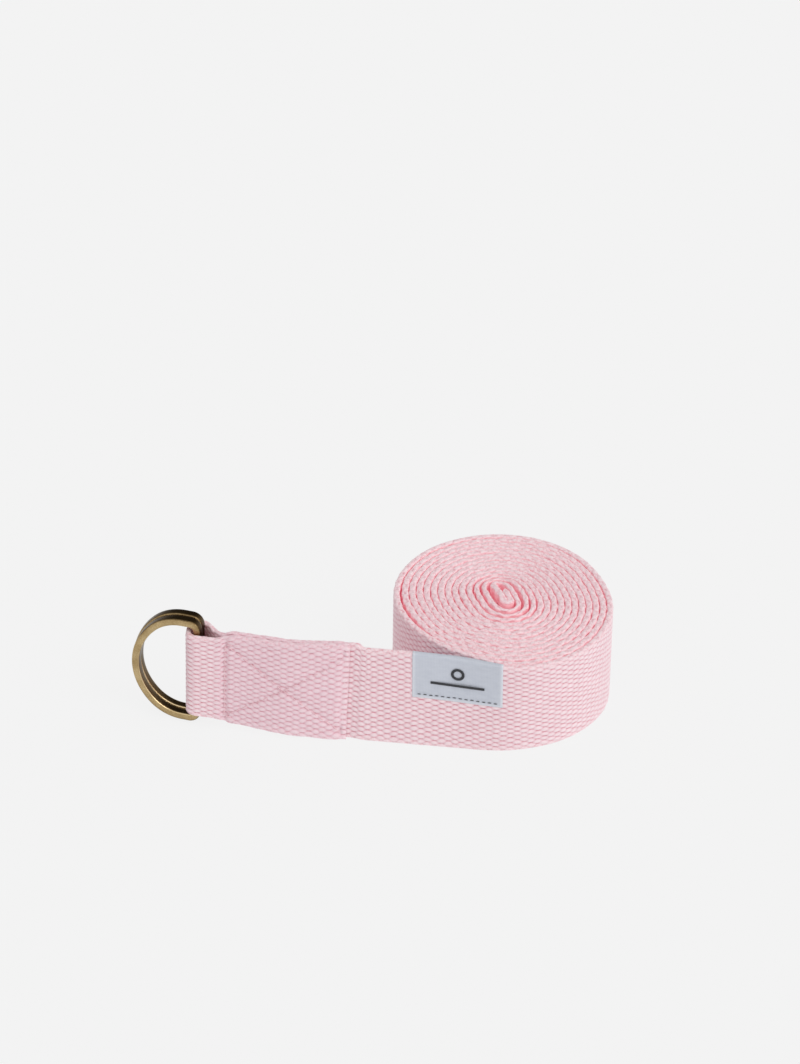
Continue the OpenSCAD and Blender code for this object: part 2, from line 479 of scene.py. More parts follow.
@dataclass(frozen=True)
class WebbingFinish(Finish):
    """Soft pink cotton webbing: painted shade makes its grooves deeper pink than its grains, and a painted
    highlight lightens the grains' crowns.
    """

    # pit and groove are painted shade in the weave's hollows; the crown colour is a painted highlight on the
    # grains' tops.
    pit: Colour = (0.62, 0.16, 0.22)
    groove: Colour = (0.76, 0.42, 0.48)
    grain: Colour = (0.83, 0.62, 0.67)
    crown_highlight: Colour = (0.90, 0.78, 0.81)
    # The pressed colour is painted shade: a darker mauve-grey laid over the sewn end.
    pressed: Colour = (0.72, 0.50, 0.585)
    edge: Colour = (0.89, 0.745, 0.775)
    edge_hollow: Colour = (0.80, 0.42, 0.47)
    # Painted light: the webbing glows deep pink where it faces another turn, and faintly pink everywhere, in
    # place of light bounced between the turns and through the cloth.
    glow: Colour = (0.16, 0.02, 0.03)
    painted_bounce_light: Colour = (0.035, 0.003, 0.006)

    strand_height: float = 0.75
    # Strength of the painted shade in the creases where two grains meet.
    crease_shade_share: float = 0.35
    selvage_share: float = 0.72
    sewn_shade_share: float = 0.55
    # How narrow that painted crease shade is.
    crease_shade_sharpness: float = 3.5
    strand_relief: float = 0.45

    def build(self, weave: bpy.types.NodeTree, fibre: bpy.types.NodeTree) -> bpy.types.Material:
        """The material.

        Args:
            weave: The weave group.
            fibre: The fibre group.
        Returns:
            The webbing's material.
        """
        material, graph, shader, place = self.start(Coordinates.UV)
        grains = self.group(graph, weave, place).outputs
        fibres = self.group(graph, fibre, place).outputs
        level = graph.math("SUBTRACT", grains["Grain"], self.strand_height / 2)
        height = graph.math("MULTIPLY_ADD", fibres["Strand"], self.strand_height, level)
        # Painted shade and highlight: the colour darkens with depth into the weave and lightens on the
        # grains' crowns.
        depths = [(0.0, self.pit), (0.24, self.groove), (0.55, self.grain), (0.95, self.crown_highlight)]
        colour = graph.ramp(height, depths)
        patches = graph.ramp(fibres["Mottle"], [(0.3, (0.93, 0.89, 0.90)), (0.7, (1.0, 1.0, 1.0))])
        colour = graph.mix(1.0, colour, patches, "MULTIPLY")
        picks = graph.ramp(fibres["Pick"], [(0.30, self.edge_hollow), (0.54, self.edge)])
        selvage = graph.math("MULTIPLY", graph.attribute("selvage"), self.selvage_share)
        colour = graph.mix(selvage, colour, picks)
        # Painted shade over the sewn end.
        sewn = graph.math("MULTIPLY", graph.attribute("sewn"), self.sewn_shade_share, clamp=True)
        colour = graph.mix(sewn, colour, self.pressed)
        # Painted shade: the groove colour is mixed in along the creases where two grains meet.
        rim = graph.math("MULTIPLY", grains["Rim"], self.crease_shade_sharpness, clamp=True)
        seam = graph.math("SUBTRACT", 1.0, rim)
        colour = graph.mix(graph.math("MULTIPLY", seam, self.crease_shade_share), colour, self.groove)
        # Painted light: emission that lifts the shade towards pink, strongest between the turns.
        between = graph.mix(graph.attribute("inside"), self.painted_bounce_light, self.glow)
        graph.fill(shader, {"Base Color": colour, "Emission Color": between, "Emission Strength": 1.0})
        relief = graph.math("MULTIPLY_ADD", fibres["Strand"], self.strand_relief, grains["Grain"])
        self.raise_surface(graph, shader, relief)
        return material


@dataclass(frozen=True)
class ThreadFinish(Finish):
    """Twisted sewing thread."""

    light: Colour = (0.88, 0.66, 0.70)
    dark: Colour = (0.72, 0.42, 0.47)
    twist_scale: float = 1500.0

    def build(self) -> bpy.types.Material:
        """The material.

        Returns:
            The thread's material.
        """
        material, graph, shader, place = self.start(Coordinates.OBJECT)
        wave = graph.node("ShaderNodeTexWave", wave_type="BANDS", bands_direction="DIAGONAL")
        graph.fill(wave, {"Vector": place, "Scale": self.twist_scale, "Distortion": 1.5})
        twist = wave.outputs["Fac"]
        graph.feed(shader.inputs["Base Color"], graph.ramp(twist, [(0.2, self.dark), (0.7, self.light)]))
        self.raise_surface(graph, shader, twist)
        return material


@dataclass(frozen=True)
class LabelFinish(Finish):
    """Pale satin ribbon with fine ribs across it, brighter along its folded rim."""

    face: Colour = (0.60, 0.63, 0.70)
    rib: Colour = (0.50, 0.53, 0.61)
    rim: Colour = (0.78, 0.81, 0.87)
    ribs_along: float = 95.0
    ribs_across: float = 60.0

    def build(self) -> bpy.types.Material:
        """The material, for a UV map that runs from 0 to 1 both ways.

        Returns:
            The label's material.
        """
        material, graph, shader, place = self.start(Coordinates.UV)
        parts = graph.split(place)

        def ribs(socket: bpy.types.NodeSocket, count: float) -> bpy.types.NodeSocket:
            """Fine parallel ribs.

            Args:
                socket: The place across them, from 0 to 1.
                count: How many ribs there are.
            Returns:
                Their height's socket, from 0 to 1.
            """
            wave = graph.math("SINE", graph.math("MULTIPLY", socket, count * math.tau))
            return graph.math("MULTIPLY_ADD", wave, 0.5, 0.5)

        lengthwise = ribs(parts["Y"], self.ribs_along)
        crosswise = ribs(parts["X"], self.ribs_across)
        height = graph.math("MULTIPLY_ADD", crosswise, 0.4, graph.math("MULTIPLY", lengthwise, 0.6))
        cloud = graph.noise(graph.stretched(place, (3.0, 9.0, 1.0)), 3.0, 4.0)
        tone = graph.math("MULTIPLY_ADD", cloud, 0.6, graph.math("MULTIPLY", height, 0.4))
        colour = graph.ramp(tone, [(0.25, self.rib), (0.7, self.face)])
        colour = graph.mix(graph.math("MULTIPLY", graph.attribute("rim"), 0.8), colour, self.rim)
        graph.feed(shader.inputs["Base Color"], colour)
        self.raise_surface(graph, shader, height)
        return material


@dataclass(frozen=True)
class BrassFinish(Finish):
    """Antique brass: dark brown patina on the wire's sides, worn to gold on its faces, with painted
    highlights on its edges and painted shade on its outer side away from the bar's middle.
    """

    # From dark to light: brown patina, worn gold, and a painted highlight colour for the edges.
    brown: Colour = (0.10, 0.065, 0.03)
    gold: Colour = (0.50, 0.37, 0.19)
    painted_highlight: Colour = (0.86, 0.72, 0.45)

    def build(self, tarnish: bpy.types.NodeTree) -> bpy.types.Material:
        """The material.

        Args:
            tarnish: The tarnish group.
        Returns:
            The brass material.
        """
        material, graph, shader, place = self.start(Coordinates.OBJECT)
        marks = self.group(graph, tarnish, place).outputs
        # The vertex share mixes the plating's wear with painted highlights on the edges and painted shade on
        # the outer side.
        worn = graph.math("SUBTRACT", graph.attribute("wear_and_painted_light"), 0.28)
        wear_and_painted_light = graph.math("MULTIPLY_ADD", marks["Speckle"], 0.55, worn)
        colour = graph.ramp(wear_and_painted_light, [(0.05, self.brown), (0.5, self.gold), (0.95, self.painted_highlight)])
        dulled = graph.ramp(marks["Cloud"], [(0.35, (0.72, 0.68, 0.62)), (0.65, (1.0, 1.0, 1.0))])
        graph.feed(shader.inputs["Base Color"], graph.mix(1.0, colour, dulled, "MULTIPLY"))
        rough = graph.math("MULTIPLY_ADD", marks["Speckle"], 0.22, self.roughness)
        graph.feed(shader.inputs["Roughness"], rough)
        self.raise_surface(graph, shader, marks["Speckle"])
        return material


# --- Webbing ---------------------------------------------------------------------------------


@dataclass(frozen=True)
class Weave:
    """The webbing's weave: oval grains in columns across it, every other column half a row up."""

    column_pitch: float = 2.43 * MM
    row_pitch: float = 2.07 * MM
    relief: float = 0.42 * MM
    steps_per_grain: int = 5
    wobble: float = 0.10
    middles: ClassVar[tuple[tuple[float, float], ...]] = ((0.0, 0.0), (1.0, 0.5))
    grain_half_length: ClassVar[float] = 0.74
    grain_half_height: ClassVar[float] = 0.48
    roundness: ClassVar[float] = 0.6

    def uneven(self, columns: Points, rows: Points, all_rows: float) -> tuple[Points, Points]:
        """Push the grains a little out of line, as hand-fed yarn lies.

        Args:
            columns: Places along the webbing, in columns.
            rows: Places round it, in rows.
            all_rows: The rows all round the section, so that the push closes on itself.
        Returns:
            The pushed columns and rows.
        """
        turn = math.tau * rows / all_rows
        sideways = np.sin(1.9 * columns + 5 * turn) * np.sin(0.77 * columns + 11 * turn + 1.0)
        upwards = np.sin(1.3 * columns - 7 * turn + 0.5) * np.sin(0.51 * columns + 4 * turn)
        return columns + self.wobble * sideways, rows + self.wobble * upwards

    def height(self, columns: Points, rows: Points) -> Points:
        """The grains' height from 0 to 1.

        Args:
            columns: Places along the webbing, in columns.
            rows: Places across it, in rows.
        Returns:
            The height at each place.
        """
        domes = []
        for column, row in self.middles:
            along = ((columns - column) / 2.0 + 0.5) % 1.0 - 0.5
            across = (rows - row + 0.5) % 1.0 - 0.5
            domes.append(
                1.0 - (2.0 * along / self.grain_half_length) ** 2 - (across / self.grain_half_height) ** 2
            )
        return np.clip(np.maximum(*domes), 0.0, 1.0) ** self.roundness


@dataclass(frozen=True)
class Detail:
    """How finely one length of webbing is meshed round its section."""

    left_steps: int
    right_steps: int
    edge_steps: int = 10
    left_relief: bool = True
    right_relief: bool = True
    # left_inside and right_inside: how much painted glow each face gets where it faces another turn.
    left_inside: float = 0.0
    right_inside: float = 0.0

    @property
    def counts(self) -> tuple[int, int, int, int]:
        """Steps up the left face, over the top edge, down the right face and round the bottom edge.

        Returns:
            The four counts.
        """
        return self.left_steps, self.edge_steps, self.right_steps, self.edge_steps


@dataclass
class Section:
    """The webbing's section as a ring of places: left face, top edge, right face, bottom edge.

    `side` runs from 1 on the left face to -1 on the right one, `height` from 0 to 1 up the flat
    faces, and `bulge` is -1 or 1 at the bottom or top of a rounded edge.
    """

    detail: Detail
    width: float
    edge: float
    weave: Weave

    def places(self, share: Points) -> dict[str, Points]:
        """The section's places.

        Args:
            share: Places round the ring, from 0 to 1.
        Returns:
            Arrays of side, height, bulge, rows, relief, selvage and inside, and the count of all rows.
        """
        detail = self.detail
        ends = np.cumsum((0, *detail.counts))
        step = np.round(share * ends[-1]).astype(int)
        part = np.clip(np.searchsorted(ends, step, side="right") - 1, 0, 3)
        within = (step - ends[part]) / np.array(detail.counts)[part]
        face_length = self.width - 2 * self.edge
        edge_length = 2.4 * self.edge
        lengths = np.array((face_length, edge_length, face_length, edge_length))
        starts = np.concatenate([[0.0], np.cumsum(lengths)])
        total_rows = round(starts[-1] / self.weave.row_pitch)
        rows = (starts[part] + within * lengths[part]) / starts[-1] * total_rows
        on_edge = part % 2
        edge_left = np.where(part == 1, 1 - within, within) * on_edge
        # inside: the share of painted glow, on the faces that face another turn and fading over their edges.
        shade = detail.left_inside * edge_left + detail.right_inside * (on_edge - edge_left)
        inside = np.choose(part, (detail.left_inside, 0.0, detail.right_inside, 0.0))
        inside = inside + shade * (1.0 - np.sin(np.pi * within)) * on_edge
        turn = np.pi * within
        side = np.choose(part, (np.ones_like(within), np.cos(turn), -np.ones_like(within), -np.cos(turn)))
        bulge = np.choose(part, (0 * within, np.sin(turn), 0 * within, -np.sin(turn)))
        height = np.choose(part, (within, np.ones_like(within), 1 - within, 0 * within))
        relief = np.choose(part, (float(detail.left_relief), 1.0, float(detail.right_relief), 1.0))
        face_rim = bell(within * (1 - within) * 40.0, 1.0)
        selvage = np.choose(part, (face_rim, 1.0, face_rim, 1.0))
        return {
            "side": side,
            "height": height,
            "bulge": bulge,
            "rows": rows,
            "all_rows": total_rows,
            "inside": inside,
            "relief": relief * np.ones_like(within),
            "selvage": selvage * np.ones_like(within),
        }


@dataclass
class Course:
    """Where a length of webbing goes: stations along its centreline in plan, and its edges there."""

    centre: Points
    length: float
    low: Points
    high: Points
    thickness: Points
    tilt: Points
    first_column: float = 0.5
    # sewn: the share of painted shade laid over each station, from 0 to 1.
    sewn: Points | None = None

    @property
    def normals(self) -> Points:
        """The directions across the webbing.

        Returns:
            The left-hand normal in plan at each station.
        """
        ahead = np.gradient(self.centre, axis=0)
        ahead /= np.linalg.norm(ahead, axis=1)[:, None]
        return np.stack([-ahead[:, 1], ahead[:, 0]], axis=1)


@dataclass
class Webbing:
    """Makes closed meshes of woven webbing along a course."""

    weave: Weave
    edge: float = 0.85 * MM
    plain_level: float = 0.6
    edge_level: float = 0.7
    edge_calm: float = 0.45

    def stations(self, length: float, steps_per_column: int) -> tuple[int, int]:
        """How many columns and stations a length has, with a whole even number of columns.

        Args:
            length: The webbing's length.
            steps_per_column: Stations to a column.
        Returns:
            The number of columns, and of stations.
        """
        columns = 2 * max(1, round(length / self.weave.column_pitch / 2))
        return columns, columns * steps_per_column + 1

    def mesh(
        self, name: str, course: Course, columns: int, detail: Detail,
        drape: Drape, shape: Pressing | None = None,
    ) -> bpy.types.Object:
        """A piece of webbing.

        Args:
            name: The piece's name.
            course: Where it goes.
            columns: How many columns of grains it has.
            detail: How finely its section is meshed.
            drape: Moves plan points, given with their share of the height.
            shape: Optional function of station, side and height that presses or raises the faces.
        Returns:
            The new object, at the origin.
        """
        count = len(course.centre)
        bm = bmesh.new()
        bmesh.ops.create_grid(bm, x_segments=count - 1, y_segments=sum(detail.counts), size=0.5)
        grid = np.array([v.co[:2] for v in bm.verts]) + 0.5
        station = np.round(grid[:, 0] * (count - 1)).astype(int)
        width = float(np.mean(course.high - course.low))
        section = Section(detail, width, self.edge, self.weave).places(grid[:, 1])
        column = course.first_column + station / (count - 1) * columns
        column, row = self.weave.uneven(column, section["rows"], section["all_rows"])
        grain = self.weave.height(column, row)
        on_edge = np.abs(section["bulge"])
        grain = np.where(section["relief"] > 0, grain, self.plain_level)
        grain = grain + (self.edge_level - grain) * self.edge_calm * on_edge

        low = course.low[station] + self.edge
        high = course.high[station] - self.edge
        outward = (grain - 1.0) * self.weave.relief
        if shape is not None:
            outward = outward + shape(station, section["side"], section["height"])
        half = course.thickness[station] / 2
        across = section["side"] * half + np.sign(section["side"]) * outward * (1 - on_edge)
        rise = low + (high - low) * section["height"]
        rise = rise + section["bulge"] * self.edge + np.sign(section["bulge"]) * outward * on_edge

        plan = course.centre[station] + course.normals[station] * across[:, None]
        plan = drape(plan, rise / width)
        angle = course.tilt[station]
        hinge = joint_place("ring_end_bend")
        forward = plan[:, 0] - hinge.x
        x = np.where(angle > 0, hinge.x + forward * np.cos(angle) + rise * np.sin(angle), plan[:, 0])
        z = np.where(angle > 0, rise * np.cos(angle) - forward * np.sin(angle), rise)

        # The shader reads these: selvage for the edge weave, inside for the painted glow between turns, sewn
        # for the painted shade over the sewn end.
        sewn = np.zeros(count) if course.sewn is None else course.sewn
        values = {"selvage": section["selvage"], "inside": section["inside"], "sewn": sewn[station]}
        uv_layer = bm.loops.layers.uv.new("weave")
        layers = [(bm.verts.layers.float.new(key), value) for key, value in values.items()]
        bm.verts.index_update()
        for face in bm.faces:
            for loop in face.loops:
                i = loop.vert.index
                loop[uv_layer].uv = (column[i], row[i])
        for i, vert in enumerate(bm.verts):
            vert.co = (x[i], plan[i, 1], z[i])
            for layer, value in layers:
                vert[layer] = value[i]
        self.close(bm)
        return finished(name, bm)

    def close(self, bm: bmesh.types.BMesh) -> None:
        """Join the section's ring, close both ends and point the faces outwards.

        Args:
            bm: The webbing's mesh.
        """
        rim = [v for v in bm.verts if v.is_boundary]
        bmesh.ops.remove_doubles(bm, verts=rim, dist=0.001 * MM)
        ends = [e for e in bm.edges if e.is_boundary]
        caps = bmesh.ops.holes_fill(bm, edges=ends, sides=0)["faces"]
        bmesh.ops.triangulate(bm, faces=caps)
        bmesh.ops.recalc_face_normals(bm, faces=bm.faces)
        for edge in ends:
            if edge.is_valid:
                edge.smooth = False


def finished(name: str, bm: bmesh.types.BMesh) -> bpy.types.Object:
    """Turn a bmesh into a smooth-shaded object at the origin.

    Args:
        name: The object's name.
        bm: Its mesh, which is freed.
    Returns:
        The object, linked to the scene.
    """
    mesh = bpy.data.meshes.new(name)
    for face in bm.faces:
        face.smooth = True
    bm.to_mesh(mesh)
    bm.free()
    obj = bpy.data.objects.new(name, mesh)
    bpy.context.scene.collection.objects.link(obj)
    return obj


def dress(obj: bpy.types.Object, material: bpy.types.Material, slot: str) -> None:
    """Give a piece its material, and log its face count with the record's name for its finish.

    Args:
        obj: The piece.
        material: Its material.
        slot: The record's name for the finish.
    """
    obj.data.materials.append(material)
    LOG.info("%s: %d faces, %s", obj.name, len(obj.data.polygons), slot)


def hand_over(
    name: str, bm: bmesh.types.BMesh, material: bpy.types.Material, slot: str, body: str,
    node: str | None = None,
) -> bpy.types.Object:
    """Turn a closed bmesh into a dressed piece that rides on a body.

    Args:
        name: The piece's name.
        bm: Its mesh, which is freed.
        material: Its material.
        slot: The record's name for the finish.
        body: The body it moves with.
        node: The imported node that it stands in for, if any.
    Returns:
        The piece.
    """
    bmesh.ops.recalc_face_normals(bm, faces=bm.faces)
    piece = finished(name, bm)
    dress(piece, material, slot)
    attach(piece, body)
    if node is not None:
        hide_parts(node)
    return piece


def bead(bm: bmesh.types.BMesh) -> list[bmesh.types.BMVert]:
    """Add a small ball of radius 1, which a stitch is shaped from.

    Args:
        bm: The mesh to add it to.
    Returns:
        Its vertices.
    """
    return bmesh.ops.create_uvsphere(bm, u_segments=6, v_segments=6, radius=1.0)["verts"]


@dataclass
class Roll:
    """The rolled part of the strap: a flat doubled core and a spiral that grows rounder."""

    webbing: Webbing
    strap_t: float = 2.15 * MM
    turns: float = 14
    turn_gap: float = 0.3 * MM
    hem_len: float = 9.0 * MM
    hem_fold: float = 6.5 * MM
    core_end_room: float = 0.5 * MM
    core_slack: float = 0.1 * MM
    core_angle: float = 24.5
    slack_turns: float = 0.6
    flat_softness: float = 0.35
    core_raise: float = 2.2 * MM
    raised_turns: float = 3.6
    core_open: float = 1.15 * MM
    core_open_phase: float = 0.0
    gap_angle: float = 207.0
    gap_spread: float = 26.0
    gap_open: float = 0.8 * MM
    full_radius: float = 40.0 * MM
    top_back: float = 1.2 * MM
    top_forward: float = 2.0 * MM
    foot_back: float = 1.5 * MM
    left_bulge: float = 1.5 * MM
    left_flare: float = 1.0 * MM
    bulge_angle: float = 190.0
    flare_angle: float = 200.0
    spread: float = 0.45 * MM
    packing: float = 0.14 * MM
    overlap: float = 0.06 * MM
    inner_ripple: float = 0.22 * MM
    fine_ripple: float = 0.12 * MM
    sideways_ripple: float = 0.07 * MM
    outer_ripple: float = 0.12 * MM
    outer_extra: float = 0.2 * MM
    foot_room: float = 0.25 * MM
    steps_per_turn: int = 360
    width: float = field(init=False)
    pitch: float = field(init=False)
    end_turn: float = field(init=False)

    def __post_init__(self) -> None:
        """Read the webbing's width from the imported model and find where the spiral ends."""
        low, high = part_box("strap_run")
        self.width = high.z - low.z
        self.pitch = self.strap_t + self.turn_gap
        shares = np.linspace(0.0, 1.0, 721)
        depths = self.spiral(self.turns - 1 + shares)[:, 1]
        self.end_turn = self.turns - 1 + float(shares[int(np.argmin(depths))])

    def turned(self, points: Points) -> Points:
        """Turn points from the flat core's own frame to the roll's.

        Args:
            points: Plan points, one row each.
        Returns:
            The turned points.
        """
        angle = math.radians(self.core_angle - 90.0)
        c, s = math.cos(angle), math.sin(angle)
        return points @ np.array([[c, s], [-s, c]])

    def spiral(self, turn: Points) -> Points:
        """The webbing's centreline.

        Args:
            turn: Turns from the core, where each whole number is one turn further out.
        Returns:
            Plan points, one row each.
        """
        angle = np.radians(-90.0 - 360.0 * turn)
        slack = 1.0 - math.exp(-0.5 / self.slack_turns)
        lift = self.pitch / 2 / slack + self.core_slack
        short = self.pitch / 2 + self.pitch * turn + lift * (1.0 - np.exp(-turn / self.slack_turns))
        core_half = self.hem_len / 2 + self.pitch + self.core_end_room
        flat = core_half + self.pitch * turn - short
        c = np.cos(angle)
        share = c * np.sqrt((1 + self.flat_softness**2) / (c**2 + self.flat_softness**2))
        x, y = short * c + flat * share, short * np.sin(angle) + self.pitch / 2
        return self.turned(np.stack([x, y], axis=1))

    def hem(self) -> Points:
        """The doubled tail in the core: the folded layer and its turn.

        Returns:
            Plan points, one row each.
        """
        radius = self.pitch / 2
        end = self.hem_len / 2
        start = np.array([[end - self.hem_fold, self.pitch]])
        bend = arc((end, radius), radius, 90.0, -90.0, 16)
        return self.turned(np.concatenate([start, bend]))

    def swelling(self, centre: Points) -> Points:
        """How much thicker the webbing packs at the front and back than at the sides.

        Args:
            centre: Plan points of the centreline.
        Returns:
            The extra thickness at each point.
        """
        angle = np.arctan2(centre[:, 1], centre[:, 0])
        return self.packing * np.sin(angle) ** 2

    def leant(self, plan: Points, share: Points) -> Points:
        """How the front of the roll and the run lean: back at the left, forward at the right.

        Args:
            plan: Plan points.
            share: Their share of the webbing's height.
        Returns:
            The moved points.
        """
        x, y = plan[:, 0], plan[:, 1]
        front = smooth(-y / (30 * MM))
        outer = np.clip(np.hypot(x, y) / self.full_radius, 0.0, 1.0) ** 1.5
        top = self.top_back - (self.top_back + self.top_forward) * smooth((x + 12 * MM) / (26 * MM))
        bottom = self.foot_back * smooth((x + 5 * MM) / (25 * MM))
        moved = plan.copy()
        moved[:, 1] += front * outer * (top * share + bottom * (1.0 - share))
        return moved

    def settled(self, plan: Points, share: Points) -> Points:
        """How the wound turns bulge at the left and spread at the back and right.

        Args:
            plan: Plan points.
            share: Their share of the webbing's height.
        Returns:
            The moved points.
        """
        radius = np.hypot(plan[:, 0], plan[:, 1])
        angle = np.degrees(np.arctan2(plan[:, 1], plan[:, 0])) % 360.0
        outer = np.clip(radius / self.full_radius, 0.0, 1.0)
        bulge = self.left_bulge * bell(angle - self.bulge_angle, 36.0) * outer**2
        flare = self.left_flare * bell(angle - self.flare_angle, 30.0) * outer**4 * (1.0 - share)
        spread = self.spread * outer * smooth((plan[:, 1] + 25 * MM) / (30 * MM))
        outward = plan / np.maximum(radius, 0.1 * MM)[:, None]
        return self.leant(plan + outward * (bulge + flare + spread)[:, None], share)

    def turn_along(self, line: Points, turns: Points) -> tuple[Points, Points]:
        """Which turn the webbing is on at each distance along a line that starts with the hem.

        Args:
            line: The hem's and the turns' plan points.
            turns: The turns' numbers, for the line's last points.
        Returns:
            Distances along the line, and the turn at each.
        """
        steps = np.linalg.norm(np.diff(line, axis=0), axis=1)
        numbers = np.concatenate([np.zeros(len(line) - len(turns)), turns])
        return np.concatenate([[0.0], np.cumsum(steps)]), numbers

    def inner_course(self, steps_per_column: int) -> tuple[Course, int]:
        """The hem and all turns but the last.

        Args:
            steps_per_column: Stations to a column of grains.
        Returns:
            The course, and its number of columns.
        """
        last = self.end_turn - 1.0
        turns = np.linspace(0.0, last, int(last * self.steps_per_turn))
        line = np.concatenate([self.hem(), self.spiral(turns)])
        length = resampled(line, 2)[1]
        columns, count = self.webbing.stations(length, steps_per_column)
        centre, length = resampled(line, count)
        along = np.linspace(0.0, length, count)
        radius = np.linalg.norm(centre, axis=1)
        raised = self.core_raise * (1 - smooth(radius / (self.raised_turns * self.pitch * 2)))
        ripple = self.inner_ripple * wander(along, 0.071, 3) + self.fine_ripple * wander(along, 0.0093, 5)
        side = self.sideways_ripple * wander(along, 0.031, 7)
        turn = np.interp(along, *self.turn_along(line, turns))
        loose = self.core_open * smooth((4.2 - turn) / 2.4) * (1 - smooth((0.35 - turn) / 0.3))
        loose = loose * (0.35 + 0.65 * np.sin(math.tau * turn + self.core_open_phase) ** 2)
        course = Course(
            centre=centre,
            length=length,
            low=raised + self.foot_room + ripple.clip(0, None),
            high=self.width + raised + ripple - 0.1 * MM,
            thickness=self.pitch + self.overlap + self.swelling(centre) - loose,
            tilt=np.zeros(count),
        )
        course.centre = centre + course.normals * side[:, None]
        rounded_ends(course.thickness, 3)
        return course, columns

    def outer_course(self, steps_per_column: int) -> tuple[Course, int]:
        """The last turn, which stands a little off the turn inside it at the left.

        Args:
            steps_per_column: Stations to a column of grains.
        Returns:
            The course, and its number of columns.
        """
        turns = np.linspace(self.end_turn - 1.0, self.end_turn, self.steps_per_turn * 2)
        line = self.spiral(turns)
        angle = np.degrees(np.arctan2(line[:, 1], line[:, 0])) % 360.0
        outward = line / np.linalg.norm(line, axis=1)[:, None]
        line = line + outward * (self.gap_open * bell(angle - self.gap_angle, self.gap_spread))[:, None]
        length = resampled(line, 2)[1]
        columns, count = self.webbing.stations(length, steps_per_column)
        centre, length = resampled(line, count)
        along = np.linspace(0.0, length, count)
        calm = smooth((length - along) / (20 * MM))
        ripple = self.outer_ripple * wander(along, 0.083, 11) * calm
        course = Course(
            centre=centre,
            length=length,
            low=np.zeros(count) + np.abs(ripple) * 0.5,
            high=self.width + ripple,
            thickness=self.strap_t + (self.outer_extra + self.swelling(centre)) * calm,
            tilt=np.zeros(count),
        )
        return course, columns

    def build(self, material: bpy.types.Material) -> list[bpy.types.Object]:
        """Make and dress the roll's two pieces.

        Args:
            material: The webbing's material.
        Returns:
            The inner turns and the outer turn.
        """
        course, columns = self.inner_course(4)
        detail = Detail(
            left_steps=3, right_steps=3, edge_steps=8, left_relief=False, right_relief=False,
            left_inside=1.0, right_inside=1.0,
        )
        inner = self.webbing.mesh("roll_inner_turns", course, columns, detail, self.settled)
        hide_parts("strap_roll")
        inner_length = course.length
        course, columns = self.outer_course(self.webbing.weave.steps_per_grain)
        detail = Detail(left_steps=88, right_steps=8, right_relief=False, right_inside=1.0)
        outer = self.webbing.mesh("roll_outer_turn", course, columns, detail, self.settled)
        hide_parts("strap_roll")
        for piece, length in ((inner, inner_length), (outer, course.length)):
            dress(piece, material, "webbing")
            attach(piece, "roll")
        return [inner, outer]


def rounded_ends(thickness: Points, steps: int) -> None:
    """Thin the webbing towards both ends, so that a cut end is rounded.

    Args:
        thickness: The thickness at each station, changed in place.
        steps: How many stations the rounding takes.
    """
    for i in range(steps):
        share = math.sqrt(1 - (1 - (i + 0.6) / (steps + 0.6)) ** 2)
        thickness[i] *= share
        thickness[-1 - i] *= share


